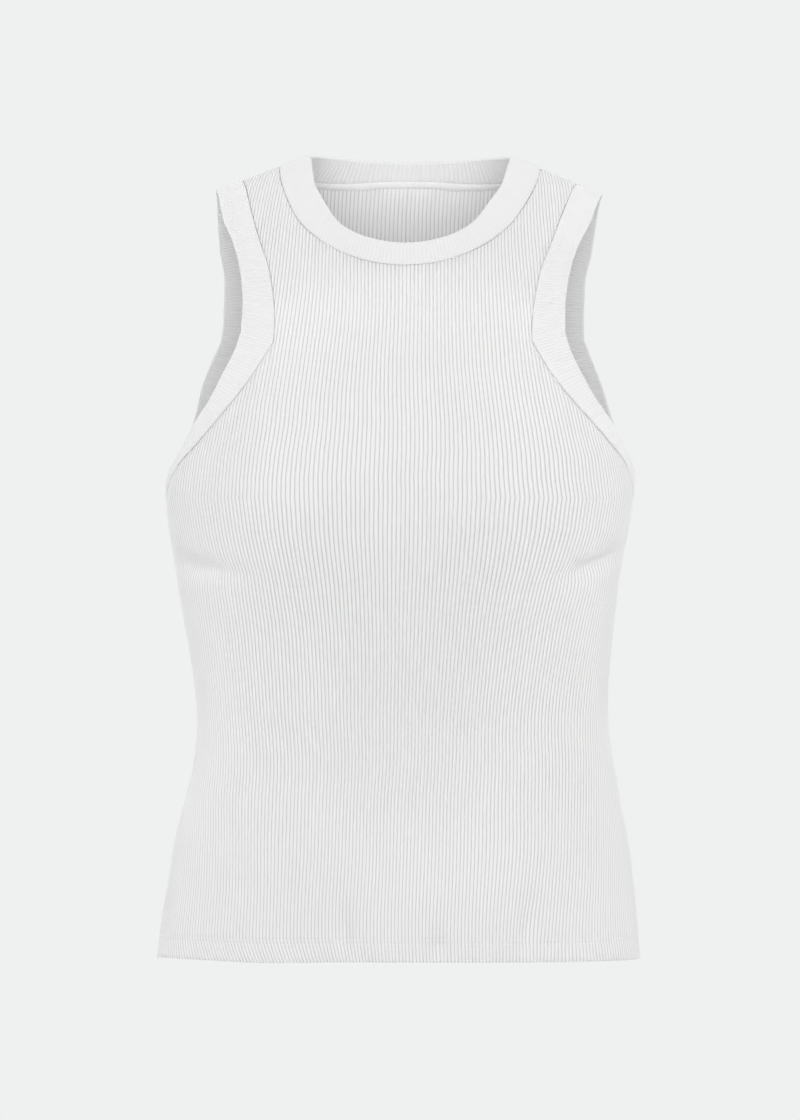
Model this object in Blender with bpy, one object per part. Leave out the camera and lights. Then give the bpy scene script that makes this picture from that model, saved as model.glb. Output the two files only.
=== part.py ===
"""Rib knit tank top, hollow, in the shape it keeps when worn on the shoulders.

Frame: origin on the shoulder line between the two highest points of the neck
edge, +Z up, the front faces -Y, +X to the right as seen from the front.
Pieces: front, back, neckband, armband_right, armband_left.  The hem is the
panels' own lower edge, turned up inside.  Lengths below are in millimetres.

A panel is drawn in cloth coordinates: s counts ribs from the centre line and
t is the height (z below the underarm; above it an angle that runs from the
underarm level, t = UNDERARM, to the shoulder ridge, t = 0).
"""
import bpy
import bmesh
import numpy as np

for old in list(bpy.data.objects):
    bpy.data.objects.remove(old, do_unlink=True)

MM = 0.001
HEM, UNDERARM, SHOULDER = -560.0, -240.0, 0.0
RIBS_HEM, RIBS_ARM = 92.0, 66.0   # ribs from the centre line to the side seam
PANEL_IN, PANEL_VALLEY, PANEL_PEAK = -1.2, 0.2, 0.8   # offsets from the cloth's middle
HEM_IN = -1.8
BAND_IN, BAND_VALLEY, BAND_PEAK = -1.2, 0.7, 1.2
SEAM_GAP = 0.35
NECK_RIB, ARM_RIB = 3.3, 2.9      # rib pitch along the bands
LEAN, LEAN_FROM = 7.0, 200.0      # the shoulders sit 7 mm to the right of the hem
# sideways sway of the body by height
SWAY = np.array([
    # z, shift
    (-560, -1.4), (-548, -1.4), (-506, 0.0), (-450, 1.0), (-422, 2.1), (-394, 1.2), (-338, -0.7),
    (-296, -2.1), (-240, -1.0), (-198, 2.0), (-150, 0.3), (-100, 0.0)])
DROOP = (3.2, 2.2, 135.0, -130.0, 100.0)  # right shoulder: down, out, at half width, from z, over
HEM_LIFT, HEM_TILT, LIFT_FADE = 3.2, 0.8, 130.0   # hem: rise of the front, fall to the right, reach upwards

# half width of the body of the garment by height
WIDTH = np.array([
    # z, half width
    (-560, 168.1), (-534, 165.7), (-506, 161.8), (-478, 157.9), (-450, 151.4), (-422, 145.8),
    (-394, 142.7), (-366, 144.3), (-338, 147.9), (-310, 151.9), (-282, 156.0), (-262, 159.8), (-240, 162.6)])
# depth from the side seam's plane to the centre line by height
DEPTH = np.array([
    # z, front, back
    (-560, 101, 98), (-500, 97, 92), (-450, 93, 82), (-394, 90, 72), (-340, 97, 75),
    (-310, 104, 80), (-280, 112, 85), (-240, 119, 91)])
ROUND = {-1: (2.2, 1.7), 1: (2.2, 2.2)}   # squareness of the sections: round the body, over the shoulder
BUST = (12.0, 74.0, 60.0, -238.0, 58.0)   # height, centre x, spread x, centre z, spread z
RIDGE = (16.7, 0.41, 40.0)                # shoulder ridge: z at the centre, slope, rounding
# mean rib pitch by cloth height above the underarm
PITCH = {-1: np.array([(-200, 3.05), (-162, 2.77), (-132, 2.62), (-91, 2.52), (0, 2.5)]),
         1: np.array([(-200, 3.08), (-162, 3.0), (-91, 2.92), (0, 2.87)])}
SPREAD = {-1: np.array([(-560, 0.05), (-394, 0.03), (-240, 0.10), (-190, 0.0)]),
          1: np.array([(-560, 0.05), (-394, 0.03), (-240, 0.04), (-190, 0.0)])}

# outlines, (x, z) pairs on the body; the shoulder ends are on the ridge
NECK_SEAM = {-1: [(0, -80.1), (29.4, -76.2), (56, -64.8), (63.9, -59.6), (75.3, -50.8), (84, -35.6), (90.1, -17.5)],
             1: [(0, -14), (30, -15), (60, -15.7), (78, -12.5), (86, -9.8)]}
NECK_EDGE = {-1: [(0, -62.9), (29.6, -56.9), (56, -41.7), (67.5, -17.3)],
             1: [(0, -1.6), (25, -1.0), (45, 0.3), (58, 1.0), (66, 0.8)]}
ARM_UP = {-1: [(88.1, -119.5), (89.5, -102.8), (93.2, -81.7), (99.8, -62.9), (108.8, -34.9)],
          1: [(107.5, -112), (107.5, -85), (111, -60)]}
ARM_LOW = {-1: [(92.5, -139), (103.3, -155.7), (115.5, -171.3), (130, -187.6), (144.7, -204), (155.3, -216.5)],
           1: [(114, -145), (122, -163), (132, -185), (143, -204), (154, -219)]}
KINK = {-1: (88.4, -132.2), 1: (108.5, -128)}
EDGE_UP = {-1: [(126.8, -45.4), (119.9, -60.6), (114.8, -76.2), (111.8, -93.4), (110.8, -107.9)],
           1: [(130.8, -63.6), (127.3, -85), (127.6, -113.5)]}
EDGE_KINK = {-1: (111.4, -126.1), 1: (128.7, -126.7)}
EDGE_LOW = {-1: [(115.1, -137.5), (123.3, -154.1), (132.9, -171.7), (141.7, -184.3), (152.3, -202.5), (160.1, -216.3)],
            1: [(134.7, -141), (141.4, -158.5), (148, -183.7), (154.8, -201), (160.3, -214.5)]}
EDGE_TIP, EDGE_HPS, EDGE_BOTTOM = 134.7, 70.3, -222.0
# rib numbers at the outline's corners: kink of the armhole, neck seam and armhole seam at the shoulder
CORNER = {-1: (33.0, 38.0, 49.0)}
KINK_BACK = 37.0


def smooth(table_x, table_y, q):
    """Monotone cubic through a table: no overshoot between its points."""
    x, y, q = np.asarray(table_x, float), np.asarray(table_y, float), np.asarray(q, float)
    h, d = np.diff(x), np.diff(y) / np.diff(x)
    m = np.concatenate([[d[0]], np.zeros(len(x) - 2), [d[-1]]])
    same = d[:-1] * d[1:] > 0
    w1, w2 = 2 * h[1:] + h[:-1], h[1:] + 2 * h[:-1]
    safe = np.where(same, d[:-1], 1.0), np.where(same, d[1:], 1.0)
    m[1:-1] = np.where(same, (w1 + w2) / (w1 / safe[0] + w2 / safe[1]), 0.0)
    q = np.clip(q, x[0], x[-1])
    i = np.clip(np.searchsorted(x, q) - 1, 0, len(x) - 2)
    u = (q - x[i]) / h[i]
    return (y[i] * (1 + 2 * u) * (1 - u) ** 2 + m[i] * h[i] * u * (1 - u) ** 2
            + y[i + 1] * u ** 2 * (3 - 2 * u) + m[i + 1] * h[i] * u ** 2 * (u - 1))


def ridge(x):
    z0, slope, r = RIDGE
    return z0 - slope * (np.sqrt(x * x + r * r) - r)


def body(side, th, t):
    """Point of the cloth's middle at section angle th and height t."""
    n, p = ROUND[side]
    low = np.minimum(t, UNDERARM)
    phi = np.clip((t - UNDERARM) / (SHOULDER - UNDERARM), 0, 1) * np.pi / 2
    a = smooth(WIDTH[:, 0], WIDTH[:, 1], low)
    d = smooth(DEPTH[:, 0], DEPTH[:, 1 if side < 0 else 2], low)
    c = np.maximum(np.cos(th), 0.0)
    x = a * np.sign(th) * np.abs(np.sin(th)) ** (2 / n)
    z = np.where(t <= UNDERARM, t, UNDERARM + (ridge(x) - UNDERARM) * np.sin(phi) ** (2 / p))
    y = d * c ** (2 / n)
    if side < 0:
        h, bx, wx, bz, wz = BUST
        y = y + h * np.exp(-((np.abs(x) - bx) / wx) ** 2 - ((z - bz) / wz) ** 2) * np.minimum(1, 2.2 * c)
    y = y * np.maximum(np.cos(phi), 0.0) ** (2 / p)
    return np.stack([x, side * y, z], -1)


def normal(side, th, t):
    e, f = 0.01, 1.5
    du = body(side, np.minimum(th + e, np.pi / 2), t) - body(side, np.maximum(th - e, -np.pi / 2), t)
    dv = body(side, th, np.minimum(t + f, SHOULDER)) - body(side, th, t - f)
    n = -side * np.cross(du, dv)
    return n / np.linalg.norm(n, axis=-1, keepdims=True)


T_GRID = np.linspace(HEM, SHOULDER, 141)
S_GRID = np.linspace(0, 100, 401)


def rib_count(t):
    return RIBS_ARM + (RIBS_HEM - RIBS_ARM) * np.clip((UNDERARM - t) / (UNDERARM - HEM), 0, 1)


def cloth_table(side):
    """Section angle of each rib at each height, from the arc length round the section."""
    th = np.linspace(0, np.pi / 2, 361)
    pts = body(side, th[None, :], T_GRID[:, None])
    arc = np.concatenate([np.zeros((len(T_GRID), 1)),
                          np.cumsum(np.linalg.norm(np.diff(pts, axis=1), axis=2), axis=1)], axis=1)
    whole = arc[:, -1] / rib_count(T_GRID)
    at_arm = np.interp(UNDERARM, T_GRID, whole)
    up = np.vstack([(UNDERARM, at_arm), PITCH[side]])
    pitch = np.where(T_GRID <= UNDERARM, whole, smooth(up[:, 0], up[:, 1], T_GRID))
    eps = np.interp(T_GRID, SPREAD[side][:, 0], SPREAD[side][:, 1])
    w = S_GRID[None, :] / rib_count(T_GRID)[:, None]
    goal = (pitch * rib_count(T_GRID))[:, None] * ((1 - eps[:, None]) * w + eps[:, None] * w * w)
    return np.array([np.interp(g, a, th) for g, a in zip(goal, arc)])


TABLE = {side: cloth_table(side) for side in (-1, 1)}


def angle_of(side, s, t):
    s, t = np.broadcast_arrays(np.asarray(s, float), np.asarray(t, float))
    i = np.clip((t - HEM) / (T_GRID[1] - T_GRID[0]), 0, len(T_GRID) - 1.000001)
    j = np.clip(s / (S_GRID[1] - S_GRID[0]), 0, len(S_GRID) - 1.000001)
    i0, j0 = i.astype(int), j.astype(int)
    u, v, tab = i - i0, j - j0, TABLE[side]
    return ((tab[i0, j0] * (1 - u) + tab[i0 + 1, j0] * u) * (1 - v)
            + (tab[i0, j0 + 1] * (1 - u) + tab[i0 + 1, j0 + 1] * u) * v)


def height_of(side, x, z):
    """Cloth height t of a point above the underarm, from its x and z."""
    part = np.clip((z - UNDERARM) / (ridge(x) - UNDERARM), 0, 1)
    return UNDERARM + (SHOULDER - UNDERARM) * np.arcsin(part ** (ROUND[side][1] / 2)) / (np.pi / 2)


def angle_at(side, x):
    return np.arcsin(np.clip(x / WIDTH[-1, 1], 0, 1) ** (ROUND[side][0] / 2))


def rib_of(side, th, t):
    return np.array([np.interp(a, angle_of(side, S_GRID, b), S_GRID) for a, b in zip(th, t)])


CORNER[1] = (KINK_BACK,) + tuple(          # the back's shoulder corners meet the front's
    float(rib_of(1, [angle_of(-1, s, SHOULDER)], [SHOULDER])[0]) for s in CORNER[-1][1:])


def outline(side, points, first, last):
    """Height as a function of rib number along a seam, between two fixed corners."""
    x, z = np.array(points, float).T
    t = height_of(side, x, z)
    s = rib_of(side, angle_at(side, x), t)
    lo, hi = sorted((first[0], last[0]))
    keep = (s > lo + 0.2) & (s < hi - 0.2)
    knots = sorted([first, last] + list(zip(s[keep], t[keep])))
    return np.array(knots, float)


SEAM = {}
for side in (-1, 1):
    s_k, s_n, s_a = CORNER[side]
    t_k = float(height_of(side, *map(np.float64, KINK[side])))
    t_c = float(height_of(side, np.float64(0), np.float64(NECK_SEAM[side][0][1])))
    SEAM[side] = {
        "neck": outline(side, NECK_SEAM[side][1:], (0.0, t_c), (s_n, SHOULDER)),
        "up": outline(side, ARM_UP[side], (s_k, t_k), (s_a, SHOULDER)),
        "low": outline(side, ARM_LOW[side], (s_k, t_k), (RIBS_ARM, UNDERARM))}


def seam_height(side, name, s):
    k = SEAM[side][name]
    if name == "neck":                # level at the centre line
        k = np.vstack([(-k[1, 0], k[1, 1]), k])
    return smooth(k[:, 0], k[:, 1], s)


def side_height(s):
    return UNDERARM - (np.asarray(s, float) - RIBS_ARM) / (RIBS_HEM - RIBS_ARM) * (UNDERARM - HEM)


def top_of(side, s):
    s_n = CORNER[side][1]
    return np.where(s < s_n, seam_height(side, "neck", np.minimum(s, s_n)), SHOULDER)


def lengths(p):
    return np.concatenate([[0], np.cumsum(np.linalg.norm(np.diff(p, axis=0), axis=1))])


def zipper(a, pa, b, pb):
    """Triangles between two rows of points with rising parameters."""
    out, i, j = [], 0, 0
    while i < len(a) - 1 or j < len(b) - 1:
        if j == len(b) - 1 or (i < len(a) - 1 and pa[i + 1] + pa[i] <= pb[j + 1] + pb[j]):
            out.append((a[i], a[i + 1], b[j]))
            i += 1
        else:
            out.append((a[i], b[j + 1], b[j]))
            j += 1
    return out


class Sheet:
    """One face of half a panel: points on rib columns, cut by the outline."""

    def __init__(self, side, cols, rows):
        self.ids, self.st, self.faces, self.side = {}, [], [], side
        s_k, s_n, s_a = CORNER[side]
        cols = np.array(sorted(set(cols) | {0.0, s_k, s_n, s_a, RIBS_ARM, RIBS_HEM}))
        self.cols = cols
        low = lambda s: np.where(s <= RIBS_ARM, seam_height(side, "low", np.minimum(s, RIBS_ARM)), side_height(s))
        up = lambda s: seam_height(side, "up", s)
        hem = lambda s: np.full(len(s), HEM)
        top = lambda s: top_of(side, s)
        t_k = float(up(np.array([s_k]))[0])
        rows = np.array(sorted([r for r in rows if abs(r - t_k) > 6] + [t_k]))
        for s0, s1, f0, f1 in ((0.0, s_k, hem, top), (s_k, RIBS_HEM, hem, low), (s_k, s_a, up, top)):
            c = cols[(cols >= s0) & (cols <= s1)]
            t0, t1 = f0(c), f1(c)
            grid = np.clip(rows[:, None], t0, t1)
            grid = np.where(t1 - grid < 2.5, t1, np.where(grid - t0 < 2.5, t0, grid))
            number = [[self.put(s, t) for s, t in zip(c, line)] for line in grid]
            for i in range(len(rows) - 1):
                for j in range(len(c) - 1):
                    quad = [number[i][j], number[i][j + 1], number[i + 1][j + 1], number[i + 1][j]]
                    face = [q for n, q in enumerate(quad) if q != quad[n - 1]]
                    if len(set(face)) > 2:
                        self.faces.append(tuple(face))
        leg = lambda s0, s1: cols[(cols >= min(s0, s1)) & (cols <= max(s0, s1))]
        self.legs = {"hem": (leg(0, RIBS_HEM), hem), "side": (leg(RIBS_ARM, RIBS_HEM), side_height),
                     "low": (leg(s_k, RIBS_ARM), low), "up": (leg(s_k, s_a), up),
                     "shoulder": (leg(s_n, s_a), lambda s: np.zeros(len(s))), "neck": (leg(0, s_n), top)}
        self.legs = {k: (c, [self.put(s, t) for s, t in zip(c, f(c))]) for k, (c, f) in self.legs.items()}

    def put(self, s, t):
        key = (round(float(s), 3), round(float(t), 2))
        if key not in self.ids:
            self.ids[key] = len(self.st)
            self.st.append((float(s), float(t)))
        return self.ids[key]

    def points(self, offset, pull):
        """Positions with each outline point drawn back from the seam by pull."""
        st = np.array(self.st)
        th = angle_of(self.side, st[:, 0], st[:, 1])
        th[self.legs["side"][1]] = np.pi / 2
        mid, n = body(self.side, th, st[:, 1]), normal(self.side, th, st[:, 1])
        n[st[:, 0] == 0, 0] = 0
        back = np.zeros_like(mid)
        for name, (_, ids) in self.legs.items():
            if name == "hem":
                continue
            along = np.gradient(mid[ids], axis=0)
            d = np.cross(n[ids], along)
            d /= np.linalg.norm(d, axis=1, keepdims=True)
            flip = {"side": d[:, 1] * self.side < 0, "shoulder": d[:, 1] * self.side < 0,
                    "neck": (d[:, 2] > 0) if self.side < 0 else (d[:, 1] < 0),
                    "up": d[:, 0] > 0, "low": d[:, 0] > 0}[name]
            d[flip] *= -1
            new = back[ids] + d
            back[ids] = new / np.maximum(np.linalg.norm(new, axis=1, keepdims=True), 1e-9)
        back[st[:, 0] == 0, 0] = 0
        return mid + n * offset(st[:, 0], st[:, 1])[:, None] + back * pull


def warp(p):
    """The garment as it sits: leaning and swaying sideways, the right shoulder and the hem a little uneven."""
    x, y, z = p.T
    down, out, wide, low, over = DROOP
    k = np.clip(x / wide, 0, 1) ** 2 * np.clip((z - low) / over, 0, 1)
    lift = (HEM_LIFT * np.clip(-y / 100, 0, 1) - HEM_TILT * x / 168) * np.exp(-(z - HEM) / LIFT_FADE)
    x = x + LEAN * np.clip((z + LEAN_FROM) / LEAN_FROM, 0, 1) ** 1.8 + smooth(SWAY[:, 0], SWAY[:, 1], z) + out * k
    return np.stack([x, y, z - down * k + lift], 1)


def make(name, points, faces, colour, roughness):
    mesh = bpy.data.meshes.new(name)
    mesh.from_pydata((warp(points) * MM).tolist(), [], [list(map(int, f)) for f in faces])
    bm = bmesh.new()
    bm.from_mesh(mesh)
    bmesh.ops.remove_doubles(bm, verts=bm.verts, dist=1e-6)
    bmesh.ops.recalc_face_normals(bm, faces=bm.faces)
    bmesh.ops.triangulate(bm, faces=bm.faces)
    bm.to_mesh(mesh)
    bm.free()
    obj = bpy.data.objects.new(name, mesh)
    garment.objects.link(obj)
    mat = bpy.data.materials.new(name)
    mat.use_nodes = True
    shader = mat.node_tree.nodes["Principled BSDF"]
    shader.inputs["Base Color"].default_value = colour
    shader.inputs["Roughness"].default_value = roughness
    mesh.materials.append(mat)
    return obj


garment = bpy.data.collections.new("tank_top")
bpy.context.scene.collection.children.link(garment)
WHITE = (0.87, 0.87, 0.87, 1.0)

ROWS = [HEM, -480, -394, -310, -250, -205, -116, -60, SHOULDER]
COLS_IN = [63.5, 65.0] + list(range(68, 92, 2))
STEP_IN = {"neck": 15.0, "up": 15.0, "low": 19.0}   # spacing of the inner face's points along the seams


def even_columns(side):
    """Rib columns at about equal steps along the seams, on whole or half ribs."""
    s_k, s_n, s_a = CORNER[side]
    cols = set(COLS_IN)
    for name, s0, s1 in (("neck", 0, s_n), ("up", s_k, s_a), ("low", s_k, RIBS_ARM)):
        s = np.linspace(s0, s1, 800)
        t = seam_height(side, name, s)
        d = lengths(body(side, angle_of(side, s, t), t))
        n = max(2, int(round(d[-1] / STEP_IN[name])))
        cols |= {round(float(q) * 2) / 2 for q in np.interp(np.arange(1, n) * d[-1] / n, d, s)}
    ends = CORNER[side] + (0.0, RIBS_ARM)
    return [c for c in sorted(cols) if min(abs(c - e) for e in ends) > 0.4]


def panel(name, side):
    """Closed half shell: ribbed outer face, plain inner face, one rim; then its mirror image."""
    outer = Sheet(side, np.arange(0, RIBS_HEM + 0.25, 0.5), ROWS)
    inner = Sheet(side, even_columns(side), ROWS)
    ribs = lambda s, t: PANEL_PEAK + (PANEL_VALLEY - PANEL_PEAK) * 2 * np.abs(s - np.round(s))
    plain = lambda s, t: np.where(t < HEM + 1, HEM_IN, PANEL_IN)
    pts = np.vstack([outer.points(ribs, 0.15), inner.points(plain, 0.15)])
    k = len(outer.st)
    faces = list(outer.faces) + [tuple(q + k for q in f[::-1]) for f in inner.faces]
    for leg, (c, ids) in outer.legs.items():
        ci, idi = inner.legs[leg]
        faces += zipper(ids, c, [q + k for q in idi], ci)
    flip = pts * (-1, 1, 1)
    twin = [tuple(q + len(pts) for q in f[::-1]) for f in faces]
    return make(name, np.vstack([pts, flip]), faces + twin, WHITE, 0.85)


def seam_line(side, name, s0, s1, n=160):
    """Points and normals along a panel's seam: the panel's own half-rib points."""
    lo, hi = sorted((s0, s1))
    s = np.array(sorted({lo, hi} | {q / 2 for q in range(int(2 * lo) + 1, int(np.ceil(2 * hi)))}))
    s = s if s1 > s0 else s[::-1]
    t = seam_height(side, name, s)
    th = angle_of(side, s, t)
    th = np.where(s > RIBS_ARM - 1e-6, np.pi / 2, th)
    return body(side, th, t), normal(side, th, t)


def edge_line(side, points, first, last, n=160):
    """The same for a band's free edge, drawn through (x, z) points; first and last are (angle, height)."""
    x, z = np.array(points, float).T
    k = np.vstack([first, np.stack([angle_at(side, x), height_of(side, x, z)], 1), last])
    rough = lengths(k * (100, 1))
    q = np.linspace(0, rough[-1], 600)
    if first[0] == 0:                 # level at the centre line
        k, rough = np.vstack([k[1] * (-1, 1), k]), np.append(-rough[1], rough)
    if last[0] == 0:
        k, rough = np.vstack([k, k[-2] * (-1, 1)]), np.append(rough, 2 * rough[-1] - rough[-2])
    th, t = (smooth(rough, k[:, i], q) for i in (0, 1))
    d = lengths(body(side, th, t))
    g = np.linspace(0, d[-1], n)
    th, t = np.interp(g, d, th), np.interp(g, d, t)
    return body(side, th, t), normal(side, th, t)


def join(lines):
    """One list of points, normals and section parameter (0-1 on the first line, 1-2 on the second ...)."""
    p = np.concatenate([l[0] for l in lines])
    n = np.concatenate([l[1] for l in lines])
    u = np.concatenate([i + lengths(l[0]) / lengths(l[0])[-1] for i, l in enumerate(lines)])
    return p, n, u


def at(rail, u):
    p, n, w = rail
    w = w + np.arange(len(w)) * 1e-9
    pick = lambda a: np.stack([np.interp(u, w, a[:, i]) for i in range(3)], 1)
    m = pick(n)
    return pick(p), m / np.linalg.norm(m, axis=1, keepdims=True)


def band(name, seam, edge, pitch, mirror_loop, flip_x=False):
    """Band between a seam rail and a free edge: ribs across it outside, plain inside."""
    d = lengths(seam[0])
    ribs = int(round(d[-1] / pitch / 6)) * 6
    u_of = lambda f: np.interp(f * d[-1], d, seam[2])
    fine = u_of(np.linspace(0, 1, 2 * ribs + 1))
    rough = u_of(np.linspace(0, 1, ribs // 3 + 1))
    def ring(u, outer):
        (ps, ns), (pe, ne) = at(seam, u), at(edge, u)
        across = pe - ps
        across /= np.linalg.norm(across, axis=1, keepdims=True)
        if outer:
            off = np.where(np.arange(len(u)) % 2 == 0, BAND_PEAK, BAND_VALLEY)[:, None]
            return ps + across * SEAM_GAP + ns * off, pe + ne * (off - 0.3)
        return ps + across * (SEAM_GAP + 0.7) + ns * BAND_IN, pe + ne * (BAND_IN + 0.3)
    a, b = ring(fine, True)
    c, e = ring(rough, False)
    for q in (a, b, c, e):
        if mirror_loop:
            q[[0, -1], 0] = 0
        else:
            q[-1] = q[0]
    n1, n2 = len(fine), len(rough)
    pts = np.vstack([a, b, c, e])
    A, B = list(range(n1)), list(range(n1, 2 * n1))
    C, E = list(range(2 * n1, 2 * n1 + n2)), list(range(2 * n1 + n2, 2 * n1 + 2 * n2))
    faces = [(A[i], A[i + 1], B[i + 1], B[i]) for i in range(n1 - 1)]
    faces += [(C[i], E[i], E[i + 1], C[i + 1]) for i in range(n2 - 1)]
    faces += zipper(A, fine, C, rough) + zipper(B, fine, E, rough)
    if mirror_loop:
        faces += [tuple(q + len(pts) for q in f[::-1]) for f in faces]
        pts = np.vstack([pts, pts * (-1, 1, 1)])
    if flip_x:
        pts = pts * (-1, 1, 1)
    return make(name, pts, faces, WHITE, 0.85)


def neck_rails():
    sf, sb = CORNER[-1][1], CORNER[1][1]
    seam = join([seam_line(-1, "neck", 0, sf), seam_line(1, "neck", sb, 0)])
    ends = {}
    for side in (-1, 1):
        z = NECK_EDGE[side][0][1]
        ends[side] = (0.0, float(height_of(side, np.float64(0), np.float64(z))))
    hps = lambda side: (float(angle_at(side, np.float64(EDGE_HPS))), SHOULDER)
    edge = join([edge_line(-1, NECK_EDGE[-1][1:], ends[-1], hps(-1)),
                 edge_line(1, NECK_EDGE[1][:0:-1], hps(1), ends[1])])
    return seam, edge


def arm_rails():
    seam, edge = [], []
    for side in (-1, 1):
        s_k, s_n, s_a = CORNER[side]
        tip = (float(angle_at(side, np.float64(EDGE_TIP))), SHOULDER)
        kx, kz = map(np.float64, EDGE_KINK[side])
        kink = (float(angle_at(side, kx)), float(height_of(side, kx, kz)))
        low = (np.pi / 2, float(height_of(side, WIDTH[-1, 1], np.float64(EDGE_BOTTOM))))
        s_part = [seam_line(side, "up", s_a, s_k), seam_line(side, "low", s_k, RIBS_ARM)]
        up = EDGE_UP[side]
        e_part = [edge_line(side, up, tip, kink), edge_line(side, EDGE_LOW[side], kink, low)]
        if side > 0:
            s_part = [(p[::-1], n[::-1]) for p, n in s_part[::-1]]
            e_part = [(p[::-1], n[::-1]) for p, n in e_part[::-1]]
        seam += s_part
        edge += e_part
    return join(seam), join(edge)


panel("front", -1)
panel("back", 1)
band("neckband", *neck_rails(), NECK_RIB, True)
arm_seam, arm_edge = arm_rails()
band("armband_right", arm_seam, arm_edge, ARM_RIB, False)
band("armband_left", arm_seam, arm_edge, ARM_RIB, False, flip_x=True)
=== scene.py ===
"""Rib knit tank top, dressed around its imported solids.

The panels, bands, seam allowances and hem stitching are surfaces worked out
with numpy from the same sizes as the solids.  Lengths inside the functions are
in millimetres, and meshes are in metres.  Cloth coordinates: s counts ribs from
the centre line (negative on the left) and t is the height: z below the
underarm, and above it an angle that runs up to the shoulder line at t = 0.
"""

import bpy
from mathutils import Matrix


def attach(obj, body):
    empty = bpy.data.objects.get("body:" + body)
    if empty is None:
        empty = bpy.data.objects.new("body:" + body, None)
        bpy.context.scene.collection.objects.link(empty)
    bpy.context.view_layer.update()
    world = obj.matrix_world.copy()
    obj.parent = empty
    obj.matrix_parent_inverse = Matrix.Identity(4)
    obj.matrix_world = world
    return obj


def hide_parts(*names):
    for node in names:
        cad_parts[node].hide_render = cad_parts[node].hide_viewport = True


bl_info = {
    "name": "Rib Knit Tank Top",
    "version": (1, 0, 0),
    "blender": (4, 5, 0),
    "location": "3D View > Sidebar > Tank Top",
    "description": "Builds a hollow rib knit tank top from its panels, bands and sewing",
    "category": "Add Mesh",
}

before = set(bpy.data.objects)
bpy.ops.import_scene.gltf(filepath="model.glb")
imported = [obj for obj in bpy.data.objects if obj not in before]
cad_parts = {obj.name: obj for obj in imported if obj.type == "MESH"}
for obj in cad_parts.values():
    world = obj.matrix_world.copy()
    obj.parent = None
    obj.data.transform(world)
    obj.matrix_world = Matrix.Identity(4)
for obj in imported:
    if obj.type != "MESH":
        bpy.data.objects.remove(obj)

import bpy
import numpy as np
from mathutils import Vector

MM = 0.001
FRONT, BACK = -1, 1
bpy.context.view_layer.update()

# ---------------------------------------------------------------- shape of the garment

HEM, UNDERARM, SHOULDER = -560.0, -240.0, 0.0
RIBS_HEM, RIBS_ARM = 92.0, 66.0   # ribs from the centre line to the side seam
# the shoulders sit to the right of the hem: shift, height over which it comes in, power
LEAN, LEAN_FROM, LEAN_POWER = 7.0, 200.0, 1.8
# sideways sway of the body by height
SWAY = np.array([
    # z, shift
    (-560, -1.4), (-548, -1.4), (-506, 0.0), (-450, 1.0), (-422, 2.1), (-394, 1.2), (-338, -0.7),
    (-296, -2.1), (-240, -1.0), (-198, 2.0), (-150, 0.3), (-100, 0.0), (-65, -0.8), (-40, -1.3),
    (-15, -0.9), (0, -0.5)])
DROOP = (3.2, 2.2, 135.0, -130.0, 100.0)  # right shoulder: down, out, at half width, from z, over
HEM_LIFT, HEM_TILT, LIFT_FADE = 3.2, 0.8, 130.0    # hem: front's rise, fall to the right, reach
HEM_SAG = (1.4, -99.0, 42.0)              # front hem: fall, centre x, spread
HALF_HEM, HALF_DEPTH = 168.0, 100.0       # half sizes that the hem's tilt and lift are measured by

# half width of the body of the garment by height
WIDTH = np.array([
    # z, half width
    (-560, 168.1), (-534, 165.7), (-506, 161.8), (-478, 157.9), (-450, 151.4), (-422, 145.8),
    (-394, 142.7), (-366, 144.3), (-338, 147.9), (-310, 151.9), (-282, 156.0), (-262, 159.8),
    (-240, 162.6)])
# depth from the side seam's plane to the centre line by height
DEPTH = np.array([
    # z, front, back
    (-560, 101, 98), (-500, 97, 92), (-450, 93, 82), (-394, 90, 72), (-340, 97, 75),
    (-310, 104, 80), (-280, 112, 85), (-240, 119, 91)])
ROUND = {FRONT: (2.2, 1.7), BACK: (2.2, 2.2)}   # squareness: round the body, over the shoulder
BUST = (12.0, 74.0, 60.0, -238.0, 58.0)   # height, centre x, spread x, centre z, spread z
BUST_EDGE = 2.2                           # how fast the bust fades in from the side seam
RIDGE = (16.7, 0.41, 40.0)                # shoulder ridge: z at the centre, slope, rounding
# mean rib pitch by cloth height above the underarm
PITCH = {FRONT: np.array([(-200, 3.05), (-162, 2.77), (-132, 2.62), (-91, 2.50), (0, 2.32)]),
         BACK: np.array([(-200, 3.08), (-162, 3.0), (-91, 2.92), (0, 2.87)])}
SPREAD = {FRONT: np.array([(-560, 0.05), (-394, 0.03), (-240, 0.10), (-190, 0.0)]),
          BACK: np.array([(-560, 0.05), (-394, 0.03), (-240, 0.04), (-190, 0.0)])}

# outlines, (x, z) pairs on the body; the shoulder ends are on the ridge
NECK_SEAM = {
    FRONT: [(0, -80.1), (8, -79.8), (16, -78.95), (23, -77.7), (29.4, -76.1), (42.3, -71.3),
            (54.8, -64.6), (61.8, -59.4), (72.6, -49.2), (81.2, -35.2), (88.6, -17.5)],
    BACK: [(0, -14), (30, -15), (60, -15.7), (78, -12.5), (86, -9.8)]}
NECK_EDGE = {
    FRONT: [(0, -64.3), (8, -63.9), (16, -62.7), (23, -61.0), (29.6, -58.9), (38, -54.8),
            (43, -51.6), (48.3, -46.6), (54.5, -37.8), (59.9, -29.0), (64.6, -20.5)],
    BACK: [(0, -1.6), (25, -1.0), (45, 0.3), (58, 1.0), (66, 0.8)]}
ARM_UP = {
    FRONT: [(88.1, -119.5), (89.5, -102.8), (93.2, -81.7), (99.8, -62.9), (108.8, -34.9)],
    BACK: [(107.5, -112), (107.5, -85), (111, -60)]}
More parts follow.
